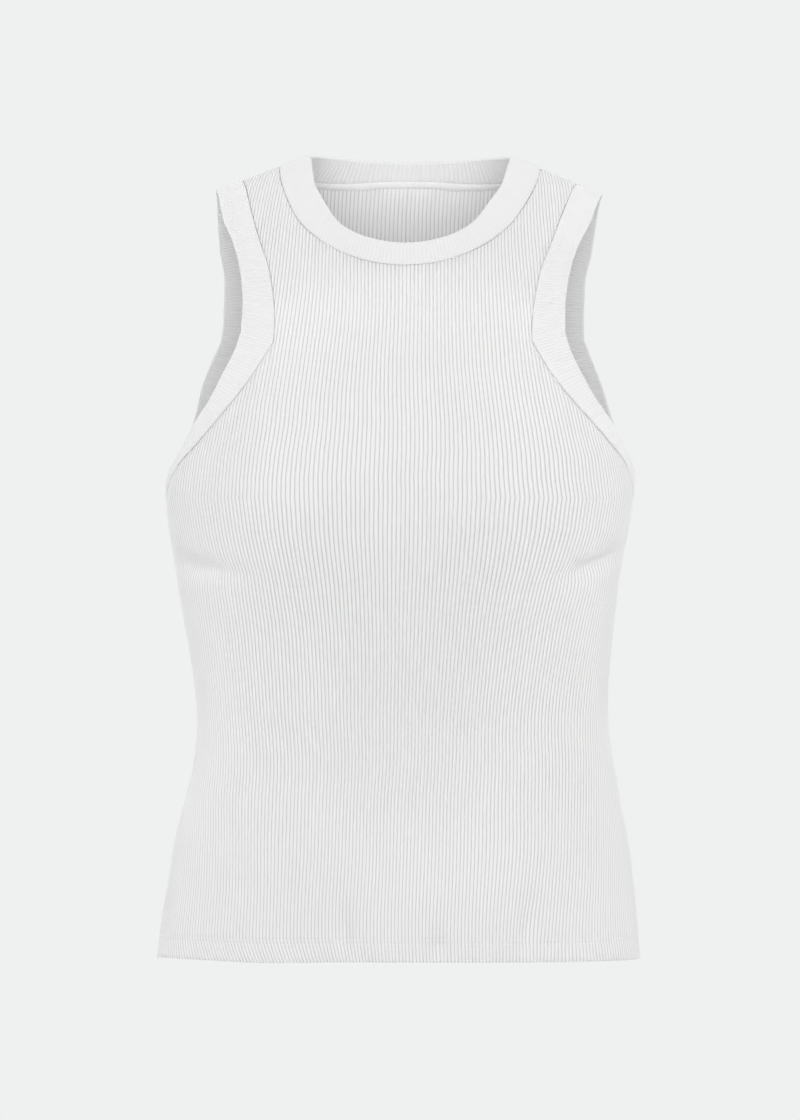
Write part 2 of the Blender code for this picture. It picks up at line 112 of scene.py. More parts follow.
ARM_LOW = {
    FRONT: [(92.5, -139), (103.3, -155.7), (115.5, -171.3), (130, -187.6), (144.7, -204),
            (155.3, -216.5)],
    BACK: [(114, -145), (122, -163), (132, -185), (143, -204), (154, -219)]}
KINK = {FRONT: (88.4, -132.2), BACK: (108.5, -128)}
EDGE_UP = {
    FRONT: [(126.8, -45.4), (119.9, -60.6), (114.8, -76.2), (111.8, -93.4), (110.8, -107.9)],
    BACK: [(130.8, -63.6), (127.3, -85), (127.6, -113.5)]}
EDGE_KINK = {FRONT: (111.4, -126.1), BACK: (128.7, -126.7)}
EDGE_LOW = {
    FRONT: [(115.1, -137.5), (123.3, -154.1), (132.9, -171.7), (141.7, -184.3), (152.3, -202.5),
            (160.1, -216.3)],
    BACK: [(134.7, -141), (141.4, -158.5), (148, -183.7), (154.8, -201), (160.3, -214.5)]}
EDGE_TIP, EDGE_HPS, EDGE_BOTTOM = 134.7, 70.3, -222.0
# rib numbers at the outline's corners: kink, neck seam and armhole seam at the shoulder
CORNER = {FRONT: (33.0, 40.95, 52.8)}
KINK_BACK = 37.0

# soft folds of each panel: rib, height, half width in ribs, half height, slant in ribs per mm,
# tilt in mm per rib, depth (below zero for a rise)
FOLDS = {
    FRONT: np.array([
        (-14, -538, 2.6, 12, 0.0, 0.0, 4.6), (13, -550, 2.4, 11, 0.0, 0.0, 3.8),
        (38.5, -534, 3.0, 17, 0.0, 0.0, 4.2), (-75, -530, 4.0, 18, 0.0, 0.0, 3.0),
        (-3.5, -550, 4.6, 18, 0.0, 0.0, -0.9), (25, -548, 5.0, 18, 0.0, 0.0, -1.0),
        (-38, -548, 9.0, 22, 0.0, 0.0, -0.9), (62, -545, 6.0, 24, 0.02, 0.0, 0.9),
        (-56, -287, 15.0, 6.8, 0.0, -0.28, 6.2), (48.5, -286, 9.0, 6.4, 0.0, 0.8, 6.2),
        (56, -260, 6.0, 13, 0.0, 0.0, -1.2),
        (51, -313, 9.0, 15, 0.0, 0.0, -1.0), (44, -345, 7.0, 30, 0.08, 0.0, -1.1),
        (-30, -425, 9.0, 34, -0.20, 0.0, 0.7), (28, -415, 9.0, 32, 0.22, 0.0, 0.7),
        (50, -455, 8.0, 30, 0.18, 0.0, 0.8)]),
    BACK: np.array([
        (-22, -546, 4.0, 18, 0.0, 0.0, 1.6), (14, -547, 4.0, 17, 0.0, 0.0, 1.4),
        (46, -544, 5.0, 20, 0.03, 0.0, 1.5), (-55, -545, 5.0, 20, -0.03, 0.0, 1.4),
        (-4, -548, 5.0, 18, 0.0, 0.0, -0.8), (30, -548, 6.0, 18, 0.0, 0.0, -0.8),
        (-26, -400, 10.0, 14, 0.0, 0.5, 1.3), (28, -396, 10.0, 14, 0.0, -0.5, 1.2),
        (-22, -440, 9.0, 30, 0.18, 0.0, 0.8), (24, -446, 9.0, 30, -0.18, 0.0, 0.8)])}
TUCK = (0.9, 3.2)       # beside the lower armhole seam: depth, reach
TUCK_FROM, TUCK_OVER = 4.0, 6.0     # ribs over which it fades in from the kink
FOLD_FADE = 7.0         # ribs over which the folds fade out at the side seams
# depth of the outer grooves by cloth height, as a share of the setting
RELIEF = np.array([
    (-560, 0.7), (-545, 0.5), (-530, 0.4), (-516, 0.42), (-475, 0.6), (-433, 0.9), (-392, 1.1),
    (-310, 1.15), (-266, 1.08), (-232, 0.85), (-207, 0.82), (-182, 0.93), (-146, 1.05),
    (-100, 0.8), (-60, 0.66), (0, 0.6)])
# sideways drift of the ribs, in ribs: a row for each height, a column for each of these ribs
DRIFT_RIBS = np.array([-84, -62, -42, -21, 0, 21, 42, 62, 84])
DRIFT = np.array([
    # z, drift at each of those ribs
    (-562, -8.5, -5.0, -3.7, -2.4, -1.6, -0.6, -0.2, 3.6, 5.5),
    (-520, -4.8, -3.6, -3.2, -2.7, -2.1, -1.2, 0.3, 1.6, 2.0),
    (-480, -2.1, -3.2, -3.4, -2.0, -1.9, -1.0, 1.2, 1.7, -2.5),
    (-440, 1.4, -5.7, -4.3, -2.2, -1.8, -0.9, 1.6, 3.6, 3.1),
    (-400, 4.9, -5.9, -4.6, -2.3, -1.2, -0.5, 1.2, 3.9, -0.4),
    (-360, 1.1, -3.3, -2.6, -1.0, -0.2, 0.3, 1.0, 3.1, -0.7),
    (-325, 0.4, 0.0, 0.1, 0.4, 0.5, 0.6, 0.7, 2.2, -1.7),
    (-295, -0.5, 2.5, 1.8, 1.1, 1.0, 0.7, 1.3, 1.5, 0.2),
    (-265, 1.4, 3.5, 2.2, 1.3, 0.9, 0.1, 1.5, 0.5, -1.2),
    (-240, 0.8, 4.0, 2.7, 1.7, 0.8, -0.7, 0.5, 0.7, -0.4),
    (-215, 0.5, 1.5, -0.2, 0.1, 0.1, -0.6, 1.4, 4.2, 1.2),
    (-190, -0.2, -0.6, -1.0, 0.3, 0.1, -0.6, 0.0, -1.8, -0.4),
    (-150, 0.0, 0.2, 0.3, 0.8, 0.3, -0.4, 1.3, 0.9, 0.2),
    (-100, 0.0, 0.0, 0.0, 0.2, 0.1, -0.2, -0.3, -0.2, 0.0)])
DRIFT_REACH = 16.0      # the drift fades out this near a panel's edges
DRIFT_SHARE = {FRONT: 1.0, BACK: 0.5}
TURN_SEAM = 15.5        # height of the hem's upper needle row
# sideways slant of the turned-up hem: rib, ribs that it moves over that height
HEM_SLANT = np.array([
    (-92, 0.0), (-74, 1.2), (-50, 2.4), (-25, 1.6), (-6, 0.4), (8, 0.0), (60, 0.3), (92, 0.0)])
WAVER = ((0.05, 23.0, 0.31, 0.0), (0.02, 11.0, -0.17, 1.3))   # size, mm, turn per rib, start


def smooth(table_x, table_y, q):
    """Monotone cubic through a table: no overshoot between its points."""
    x, y, q = np.asarray(table_x, float), np.asarray(table_y, float), np.asarray(q, float)
    h, d = np.diff(x), np.diff(y) / np.diff(x)
    m = np.concatenate([[d[0]], np.zeros(len(x) - 2), [d[-1]]])
    same = d[:-1] * d[1:] > 0
    w1, w2 = 2 * h[1:] + h[:-1], h[1:] + 2 * h[:-1]
    safe = np.where(same, d[:-1], 1.0), np.where(same, d[1:], 1.0)
    m[1:-1] = np.where(same, (w1 + w2) / (w1 / safe[0] + w2 / safe[1]), 0.0)
    q = np.clip(q, x[0], x[-1])
    i = np.clip(np.searchsorted(x, q) - 1, 0, len(x) - 2)
    u = (q - x[i]) / h[i]
    return (y[i] * (1 + 2 * u) * (1 - u) ** 2 + m[i] * h[i] * u * (1 - u) ** 2
            + y[i + 1] * u ** 2 * (3 - 2 * u) + m[i + 1] * h[i] * u ** 2 * (u - 1))


def ridge(x):
    """Height of the shoulder line: a straight slope from the neck, rounded over the centre."""
    z0, slope, r = RIDGE
    return z0 - slope * (np.sqrt(x * x + r * r) - r)


def body(side, th, t):
    """Point of the cloth's middle at section angle th and height t.

    A section is a superellipse in the half width and the depth of its height.
    Above the underarm each point goes on up to the ridge on a second
    superellipse, and the bust adds a bell-shaped rise to the front's depth.
    """
    n, p = ROUND[side]
    low = np.minimum(t, UNDERARM)
    phi = np.clip((t - UNDERARM) / (SHOULDER - UNDERARM), 0, 1) * np.pi / 2
    a = smooth(WIDTH[:, 0], WIDTH[:, 1], low)
    d = smooth(DEPTH[:, 0], DEPTH[:, 1 if side < 0 else 2], low)
    c = np.maximum(np.cos(th), 0.0)
    x = a * np.sign(th) * np.abs(np.sin(th)) ** (2 / n)
    z = np.where(t <= UNDERARM, t, UNDERARM + (ridge(x) - UNDERARM) * np.sin(phi) ** (2 / p))
    y = d * c ** (2 / n)
    if side < 0:
        h, bx, wx, bz, wz = BUST
        bell = np.exp(-((np.abs(x) - bx) / wx) ** 2 - ((z - bz) / wz) ** 2)
        y = y + h * bell * np.minimum(1, BUST_EDGE * c)
    y = y * np.maximum(np.cos(phi), 0.0) ** (2 / p)
    return np.stack([x, side * y, z], -1)


def unit(v):
    """Vectors along the last axis, each made one long."""
    return v / np.maximum(np.linalg.norm(v, axis=-1, keepdims=True), 1e-9)


def normal(side, th, t):
    """Outward unit normal of the body, from differences of its points."""
    turn, rise = 0.01, 1.5
    du = (body(side, np.minimum(th + turn, np.pi / 2), t)
          - body(side, np.maximum(th - turn, -np.pi / 2), t))
    dv = body(side, th, np.minimum(t + rise, SHOULDER)) - body(side, th, t - rise)
    return unit(-side * np.cross(du, dv))


T_GRID = np.linspace(HEM, SHOULDER, 141)
S_GRID = np.linspace(0, 100, 401)


def rib_count(t):
    """Ribs from the centre line to the side seam at height t."""
    return RIBS_ARM + (RIBS_HEM - RIBS_ARM) * np.clip((UNDERARM - t) / (UNDERARM - HEM), 0, 1)


def cloth_table(side):
    """Section angle of each rib at each height, from the arc length round the section."""
    th = np.linspace(0, np.pi / 2, 361)
    pts = body(side, th[None, :], T_GRID[:, None])
    arc = np.concatenate([np.zeros((len(T_GRID), 1)),
                          np.cumsum(np.linalg.norm(np.diff(pts, axis=1), axis=2), axis=1)], axis=1)
    whole = arc[:, -1] / rib_count(T_GRID)
    at_arm = np.interp(UNDERARM, T_GRID, whole)
    up = np.vstack([(UNDERARM, at_arm), PITCH[side]])
    pitch = np.where(T_GRID <= UNDERARM, whole, smooth(up[:, 0], up[:, 1], T_GRID))
    eps = np.interp(T_GRID, SPREAD[side][:, 0], SPREAD[side][:, 1])
    w = S_GRID[None, :] / rib_count(T_GRID)[:, None]
    goal = (pitch * rib_count(T_GRID))[:, None] * ((1 - eps[:, None]) * w + eps[:, None] * w * w)
    return np.array([np.interp(g, a, th) for g, a in zip(goal, arc)])


TABLE = {side: cloth_table(side) for side in (FRONT, BACK)}


def between(table, t, column):
    """Entry of a table with a row for each height of T_GRID, blended between rows and columns."""
    i = np.clip((t - HEM) / (T_GRID[1] - T_GRID[0]), 0, table.shape[0] - 1.000001)
    j = np.clip(column, 0, table.shape[1] - 1.000001)
    i0, j0 = i.astype(int), j.astype(int)
    u, v = i - i0, j - j0
    return ((table[i0, j0] * (1 - u) + table[i0 + 1, j0] * u) * (1 - v)
            + (table[i0, j0 + 1] * (1 - u) + table[i0 + 1, j0 + 1] * u) * v)


def angle_of(side, s, t):
    """Section angle of rib s at height t."""
    s, t = np.broadcast_arrays(np.asarray(s, float), np.asarray(t, float))
    return between(TABLE[side], t, s / (S_GRID[1] - S_GRID[0]))


def height_of(side, x, z):
    """Cloth height t of a point above the underarm, from its x and z."""
    part = np.clip((z - UNDERARM) / (ridge(x) - UNDERARM), 0, 1)
    return UNDERARM + (SHOULDER - UNDERARM) * np.arcsin(part ** (ROUND[side][1] / 2)) / (np.pi / 2)


def angle_at(side, x):
    """Section angle of a point above the underarm, from its x."""
    return np.arcsin(np.clip(x / WIDTH[-1, 1], 0, 1) ** (ROUND[side][0] / 2))


def rib_of(side, th, t):
    """Rib numbers of points given by section angle and height."""
    return np.array([np.interp(a, angle_of(side, S_GRID, b), S_GRID) for a, b in zip(th, t)])


CORNER[BACK] = (KINK_BACK,) + tuple(          # the back's shoulder corners meet the front's
    float(rib_of(BACK, [angle_of(FRONT, s, SHOULDER)], [SHOULDER])[0]) for s in CORNER[FRONT][1:])


def outline(side, points, first, last):
    """Height as a function of rib number along a seam, between two fixed corners."""
    x, z = np.array(points, float).T
    t = height_of(side, x, z)
    s = rib_of(side, angle_at(side, x), t)
    lo, hi = sorted((first[0], last[0]))
    keep = (s > lo + 0.2) & (s < hi - 0.2)
    knots = sorted([first, last] + list(zip(s[keep], t[keep])))
    return np.array(knots, float)


def panel_outlines(side):
    """The three curved seams of a panel: neck, upper armhole and lower armhole."""
    s_k, s_n, s_a = CORNER[side]
    t_k = float(height_of(side, *map(np.float64, KINK[side])))
    t_c = float(height_of(side, np.float64(0), np.float64(NECK_SEAM[side][0][1])))
    return {"neck": outline(side, NECK_SEAM[side][1:], (0.0, t_c), (s_n, SHOULDER)),
            "up": outline(side, ARM_UP[side], (s_k, t_k), (s_a, SHOULDER)),
            "low": outline(side, ARM_LOW[side], (s_k, t_k), (RIBS_ARM, UNDERARM))}


SEAM = {side: panel_outlines(side) for side in (FRONT, BACK)}


def seam_height(side, name, s):
    """Height of a panel's seam at rib s; the neck is level at the centre line."""
    k = SEAM[side][name]
    if name == "neck":
        k = np.vstack([(-k[1, 0], k[1, 1]), k])
    return smooth(k[:, 0], k[:, 1], s)


def side_height(s):
    """Height at which rib s ends in the side seam."""
    return UNDERARM - (np.asarray(s, float) - RIBS_ARM) / (RIBS_HEM - RIBS_ARM) * (UNDERARM - HEM)


def top_of(side, s):
    """Upper limit of rib s: the neck seam, or the shoulder line beyond it."""
    s_n = CORNER[side][1]
    return np.where(s < s_n, seam_height(side, "neck", np.minimum(s, s_n)), SHOULDER)


def lengths(p):
    """Distance along a row of points from its first."""
    return np.concatenate([[0], np.cumsum(np.linalg.norm(np.diff(p, axis=0), axis=1))])


def settle(p):
    """The garment as it sits: it leans and sways, and its right shoulder and hem are uneven."""
    x, y, z = p[..., 0], p[..., 1], p[..., 2]
    down, out, wide, low, over = DROOP
    k = np.clip(x / wide, 0, 1) ** 2 * np.clip((z - low) / over, 0, 1)
    fall, middle, spread = HEM_SAG
    rise = HEM_LIFT - fall * np.exp(-((x - middle) / spread) ** 2)
    lift = ((rise * np.clip(-y / HALF_DEPTH, 0, 1) - HEM_TILT * x / HALF_HEM)
            * np.exp(-(z - HEM) / LIFT_FADE))
    lean = LEAN * np.clip((z + LEAN_FROM) / LEAN_FROM, 0, 1) ** LEAN_POWER
    x = x + lean + smooth(SWAY[:, 0], SWAY[:, 1], z) + out * k
    return np.stack([x, y, z - down * k + lift], -1)


def fold_depth(side, s, t):
    """Rise of the folds: for each row a bell over the ribs times a bell over the height.

    The folds fade out at the side seams, and the cloth dips beside the lower armhole seam.
    """
    rib, height, wide, tall, slant, tilt, depth = (c[:, None] for c in FOLDS[side].T)
    across = (s[None] - rib - slant * (t[None] - height)) / wide
    up = (t[None] - height - tilt * (s[None] - rib)) / tall
    folds = (depth * np.exp(-across ** 2 - up ** 2)).sum(0)
    folds *= np.clip((rib_count(t) - np.abs(s)) / FOLD_FADE, 0, 1)
    s_k = CORNER[side][0]
    low = seam_height(side, "low", np.clip(np.abs(s), s_k, RIBS_ARM))
    tuck = TUCK[0] * np.exp(-((low - t) / TUCK[1]) ** 2)
    return -folds - tuck * np.clip((np.abs(s) - s_k + TUCK_FROM) / TUCK_OVER, 0, 1)


RIB_GRID = np.arange(-100, 101)
MEAN_PITCH = 2.6        # turns ribs into millimetres for the drift's reach


def drift_table(side):
    """Drift of each rib at each height, fading out as a bell towards the seams and the neck."""
    columns = [smooth(DRIFT[:, 0], column, T_GRID) for column in DRIFT[:, 1:].T]
    rows = np.array([smooth(DRIFT_RIBS, row, RIB_GRID) for row in np.transpose(columns)])
    s_k, s_n, s_a = CORNER[side]
    side_t = np.linspace(HEM, UNDERARM, 80)
    edge = [np.stack([rib_count(side_t), side_t], 1)]
    for name, lo, hi in (("neck", 0, s_n), ("up", s_k, s_a), ("low", s_k, RIBS_ARM)):
        s = np.linspace(lo, hi, 70)
        edge.append(np.stack([s, seam_height(side, name, s)], 1))
    edge = np.concatenate(edge) * (MEAN_PITCH, 1)
    spots = np.stack(np.meshgrid(np.abs(RIB_GRID) * MEAN_PITCH, T_GRID), -1)
    near = np.array([((row[:, None] - edge[None]) ** 2).sum(2).min(1) for row in spots])
    return DRIFT_SHARE[side] * rows * (1 - np.exp(-near / DRIFT_REACH ** 2))


DRIFT_TABLE = {side: drift_table(side) for side in (FRONT, BACK)}


def drift(side, s, t):
    """Drift of rib s at height t, with the slant of the turned-up hem and a slight waver."""
    turn_up = (np.clip((HEM + TURN_SEAM - t) / TURN_SEAM, 0, 1)
               * smooth(HEM_SLANT[:, 0], HEM_SLANT[:, 1], s))
    waver = sum(size * np.sin(t / length + s * turn + start) for size, length, turn, start in WAVER)
    return (between(DRIFT_TABLE[side], t, s - RIB_GRID[0]) + DRIFT_SHARE[side] * turn_up
            + waver * np.clip((rib_count(t) - np.abs(s)) / 4, 0, 1))


def cloth(side, s, t, offset):
    """Points and normals of a panel at ribs s and heights t, moved out by offset and folds."""
    s, t = np.asarray(s, float), np.asarray(t, float)
    moved = s + drift(side, s, t)
    th = angle_of(side, np.minimum(np.abs(moved), rib_count(t)), t)
    th = np.where(rib_count(t) - np.abs(s) < 0.01, np.pi / 2, th) * np.where(moved < 0, -1, 1)
    n = normal(side, th, t)
    p = body(side, th, t) + n * (offset + fold_depth(side, s, t))[:, None]
    return p, n


# ---------------------------------------------------------------- meshes

def add_piece(name, points, loops, sizes, uv, material):
    """Object from whole arrays: corners, face sizes, and the cloth map on the corners.

    The faces are turned round together if the signed volume is negative.
    """
    starts = np.concatenate([[0], np.cumsum(sizes)[:-1]])
    first = np.repeat(loops[starts], sizes)
    following = loops[np.where(np.arange(len(loops)) + 1 < np.repeat(starts + sizes, sizes),
                               np.arange(len(loops)) + 1, np.repeat(starts, sizes))]
    volume = np.einsum("ij,ij->i", points[first], np.cross(points[loops], points[following])).sum()
    if volume < 0:
        turned = np.repeat(2 * starts + sizes - 1, sizes) - np.arange(len(loops))
        loops, uv = loops[turned], uv[turned]
    mesh = bpy.data.meshes.new(name)
    mesh.vertices.add(len(points))
    mesh.vertices.foreach_set("co", (settle(points) * MM).astype(np.float32).ravel())
    mesh.loops.add(len(loops))
    mesh.loops.foreach_set("vertex_index", loops.astype(np.int32))
    mesh.polygons.add(len(sizes))
    mesh.polygons.foreach_set("loop_start", starts.astype(np.int32))
    mesh.polygons.foreach_set("use_smooth", np.ones(len(sizes), bool))
    mesh.update(calc_edges=True)
    layer = mesh.uv_layers.new(name="cloth")
    layer.data.foreach_set("uv", uv.astype(np.float32).ravel())
    if mesh.validate():
        raise RuntimeError(name + ": the mesh had faults")
    mesh.materials.append(material)
    old = bpy.data.objects.get(name)
    if old:
        bpy.data.objects.remove(old, do_unlink=True)
    obj = bpy.data.objects.new(name, mesh)
    bpy.context.scene.collection.objects.link(obj)
    return obj


def add_loop(name, grid, u, v, material, closed=True):
    """Object from a section carried along a path: grid is stations by section points.

    The section is always closed.  The path is closed too, or its two ends are capped.
    """
    n, m = grid.shape[:2]
    i, j = np.arange(n if closed else n - 1)[:, None], np.arange(m)[None, :]
    i1, j1 = (i + 1) % n, (j + 1) % m
    loops = np.stack([i * m + j, i1 * m + j, i1 * m + j1, i * m + j1], -1).ravel()
    uu = np.stack(np.broadcast_arrays(u[i], u[i + 1], u[i + 1], u[i]), -1) + 0 * j[..., None]
    vv = np.stack(np.broadcast_arrays(v[j], v[j], v[j + 1], v[j + 1]), -1) + 0 * i[..., None]
    uv = np.stack([uu, vv], -1).reshape(-1, 2)
    sizes = np.full(i.size * m, 4)
    if not closed:
        ends = np.concatenate([np.arange(m), (n - 1) * m + np.arange(m)[::-1]])
        loops, sizes = np.concatenate([loops, ends]), np.concatenate([sizes, [m, m]])
        uv = np.concatenate([uv, np.zeros((2 * m, 2))])
    return add_piece(name, grid.reshape(-1, 3), loops, sizes, uv, material)


# ---------------------------------------------------------------- panels

RIB_COLUMNS = np.array([-0.36, -0.14, 0.14, 0.36, 0.5])   # parts of a rib, wale in the middle
NEEDLE_ROWS = (12.5, TURN_SEAM)     # the two rows of hem stitching above the edge
NEEDLE_DIP, NEEDLE_REACH = 0.4, 0.8      # how deep and how wide a row draws the cloth in
TURN_UP, TURN_STEP = 18.0, 1.6      # the turned-up hem inside: height, and run of its edge
HEM_THICK = 1.15                    # what the turned-up cloth adds inside
INNER_SHARE = 0.7                   # depth of the inner grooves as a share of the outer ones
# weaker grooves beside: from and over these shares of the ribs, split at z, loss above and below it
SIDE_SHARE = (0.4, 0.45, -300.0, 0.15, 0.45)
# rows of the cloth grid: above the hem's edge, and round the crease under the bust
HEM_ROWS = [0.0, 3.5, 8.0, 11.4, 12.5, 14.0, 15.5, 16.7, 18.6, 23.0]
BUST_ROWS = [-304, -297, -292, -288, -284, -280, -276, -272, -267, -261, -253]
BODY_STEP, YOKE_ROWS = 13.5, 19     # spacing of the other rows, and rows above the underarm
SNAP, BORDER = 2.4, 2.8             # a row this near an outline joins it, the row beside an armhole
RIM_RINGS, RIM_SEAM, RIM_HEM = 3, 0.35, 1.3     # rings of the rim, its roundness at seam and hem
EDGE_GAP, LOW_GAP = 0.08, 0.28      # how far an edge is drawn back, and one at the lower armhole
HEM_PITCH = 2.37                    # mean rib pitch at the hem stitching


def rib_relief(s):
    """1 on the wale and 0 in the groove: one less the cube of twice the distance from the wale."""
    return 1 - (2 * np.abs(s - np.round(s))) ** 3


def needle_dip(t):
    """1 on a row of hem stitching, falling off as a bell beside it."""
    return sum(np.exp(-((t - HEM - row) / NEEDLE_REACH) ** 2) for row in NEEDLE_ROWS)


def outer_offset(knit, s, t):
    """Outer face: the rib relief, weaker towards the sides, drawn in at the hem stitching."""
    start, over, low, above, below = SIDE_SHARE
    beside = np.clip((np.abs(s) / rib_count(t) - start) / over, 0, 1)
    less = above + (below - above) * np.clip((low - t) / 30 + 1, 0, 1)
    depth = knit.groove_depth / MM * smooth(RELIEF[:, 0], RELIEF[:, 1], t) * (1 - beside * less)
    return knit.face_out / MM - depth * (1 - rib_relief(s)) - NEEDLE_DIP * needle_dip(t)


def inner_offset(knit, s, t):
    """Inner face: the same ribs half a rib along, with the turned-up hem below TURN_UP."""
    depth = knit.groove_depth / MM * INNER_SHARE
    fold = np.clip((HEM + TURN_UP - t) / TURN_STEP, 0, 1)
    return (-knit.face_in / MM + depth * (1 - rib_relief(s + 0.5)) - HEM_THICK * fold
            + 0.75 * NEEDLE_DIP * needle_dip(t))


def panel_patches(side):
    """Cloth grids of a panel's patches, each row clipped between the two outlines of its patch."""
    s_k, s_n, s_a = CORNER[side]

    def low(s):
        arm = seam_height(side, "low", np.minimum(s, RIBS_ARM))
        return np.where(s <= RIBS_ARM, arm, side_height(s))

    up = lambda s: seam_height(side, "up", s)
    hem = lambda s: np.full(len(s), HEM)
    top = lambda s: top_of(side, s)
    ribs = np.arange(-RIBS_HEM, RIBS_HEM + 1)
    cols = (ribs[:, None] + RIB_COLUMNS[None, :]).ravel()
    corners = np.array([0.0, s_k, s_n, s_a, RIBS_ARM, RIBS_HEM])
    corners = np.unique(np.concatenate([-corners, corners]))
    cols = cols[np.abs(cols[:, None] - corners[None, :]).min(1) > 0.07]
    cols = np.unique(np.round(np.concatenate([cols[np.abs(cols) <= RIBS_HEM], corners]), 4))
    t_k = float(up(np.array([s_k]))[0])
    rows = np.concatenate([
        HEM + np.array(HEM_ROWS), np.arange(HEM + 34, BUST_ROWS[0] - 7, BODY_STEP), BUST_ROWS,
        np.linspace(UNDERARM, SHOULDER, YOKE_ROWS)])
    rows = np.sort(np.concatenate([rows[np.abs(rows - t_k) > 5], [t_k]]))
    for lo, hi, f0, f1 in ((-s_k, s_k, hem, top), (s_k, RIBS_HEM, hem, low),
                           (-RIBS_HEM, -s_k, hem, low), (s_k, s_a, up, top), (-s_a, -s_k, up, top)):
        c = cols[(cols >= lo - 1e-6) & (cols <= hi + 1e-6)]
        t0, t1 = f0(np.abs(c)), f1(np.abs(c))
        t = np.clip(rows[:, None], t0, t1)
        t = np.where(t1 - t < SNAP, t1, np.where(t - t0 < SNAP, t0, t))
        if f1 is low:                 # one more row beside the armhole seam
            first = ((t[1:] == t1) & (t[:-1] < t1 - BORDER - 1)
                     & (np.abs(c) < RIBS_ARM) & (np.abs(c) > s_k + 0.05))
            t[1:][first] = (t1 - BORDER + 0 * t[1:])[first]
        yield np.broadcast_to(c, t.shape), t


def build_panel(name, side, knit, material):
    """Closed shell of one panel: both faces on the same cloth grid, and a rounded rim between them.

    The rim's rings run on a half ellipse from the outer edge to the inner one,
    and its middle is drawn back from the seam by half the seam's gap.
    """
    keys, quads, total = [], [], 0
    for s, t in panel_patches(side):
        rows, cols = s.shape
        keys.append(np.round(np.stack([s * 1000, t * 100], -1)).astype(np.int64).reshape(-1, 2))
        i, j = np.arange(rows - 1)[:, None], np.arange(cols - 1)[None, :]
        a = total + i * cols + j
        quads.append(np.stack([a, a + 1, a + cols + 1, a + cols], -1).reshape(-1, 4))
        total += rows * cols
    keys, quads = np.concatenate(keys), np.concatenate(quads)
    packed = keys[:, 0] * 10_000_000 + keys[:, 1]
    _, index, number = np.unique(packed, return_index=True, return_inverse=True)
    s, t = keys[index, 0] / 1000.0, keys[index, 1] / 100.0
    quads = number.ravel()[quads]
    same = quads == np.roll(quads, -1, axis=1)
    whole, three = quads[same.sum(1) == 0], quads[same.sum(1) == 1]
    tris = three[~same[same.sum(1) == 1]].reshape(-1, 3)
    tris = tris[(tris != np.roll(tris, -1, axis=1)).all(1)]
    count = len(s)

    starts = np.concatenate([whole.ravel(), tris.ravel()])
    ends = np.concatenate([np.roll(whole, -1, axis=1).ravel(), np.roll(tris, -1, axis=1).ravel()])
    lone = ~np.isin(starts * count + ends, ends * count + starts)
    a, b = starts[lone], ends[lone]
    rim, spot = np.unique(np.concatenate([a, b]), return_inverse=True)
    ra, rb = spot[:len(a)], spot[len(a):]

    outer, inner = outer_offset(knit, s, t), inner_offset(knit, s, t)
    mid, n = cloth(side, s, t, np.zeros(count))
    along = mid[b] - mid[a]
    inward = unit(-side * np.cross(n[a] + n[b], along))
    back = np.zeros((len(rim), 3))
    np.add.at(back, ra, inward)
    np.add.at(back, rb, inward)
    back = unit(back)
    at_hem = t[rim] <= HEM + 0.01
    kink = CORNER[side][0]
    at_low = ((np.abs(s[rim]) > kink + 0.5) & (np.abs(s[rim]) < RIBS_ARM)
              & (t[rim] < seam_height(side, "low", kink) + 0.1))
    gap = np.where(at_hem, 0.0, np.where(at_low, LOW_GAP, EDGE_GAP))[:, None]
    deep = np.where(at_hem, RIM_HEM, RIM_SEAM)[:, None]
    face_out, face_in = mid + n * outer[:, None], mid + n * inner[:, None]
    rings = []
    for k in range(1, RIM_RINGS + 1):
        turn = np.pi * k / (RIM_RINGS + 1)
        level = (outer[rim] + inner[rim]) / 2 + (outer[rim] - inner[rim]) / 2 * np.cos(turn)
        rings.append(mid[rim] + n[rim] * level[:, None] + back * (gap + deep * (1 - np.sin(turn))))
    face_out[rim] += back * (gap + deep)
    face_in[rim] += back * (gap + deep)
    points = np.concatenate([face_out, face_in] + rings)

    level = [rim, *(2 * count + k * len(rim) + np.arange(len(rim)) for k in range(RIM_RINGS)),
             count + rim]
    side_faces = np.concatenate([np.stack([p[rb], p[ra], q[ra], q[rb]], 1)
                                 for p, q in zip(level, level[1:])])
    fours = np.concatenate([whole, whole[:, ::-1] + count, side_faces])
    threes = np.concatenate([tris, tris[:, ::-1] + count])
    loops = np.concatenate([fours.ravel(), threes.ravel()])
    sizes = np.concatenate([np.full(len(fours), 4), np.full(len(threes), 3)])
    uv = np.stack([s, t], 1)
    uv = np.concatenate([uv, uv + (0.5, 0)] + [uv[rim]] * RIM_RINGS)
    return add_piece(name, points, loops, sizes, uv[loops], material)


# ---------------------------------------------------------------- bands

def seam_line(side, name, s0, s1):
    """Points and normals along a panel's seam, at every quarter rib."""
    lo, hi = sorted((s0, s1))
    s = np.unique(np.concatenate([[lo, hi], np.arange(np.ceil(4 * lo), np.floor(4 * hi) + 1) / 4]))
    s = s if s1 > s0 else s[::-1]
    t = seam_height(side, name, s)
    th = np.where(s > RIBS_ARM - 1e-6, np.pi / 2, angle_of(side, s, t))
    return body(side, th, t), normal(side, th, t)


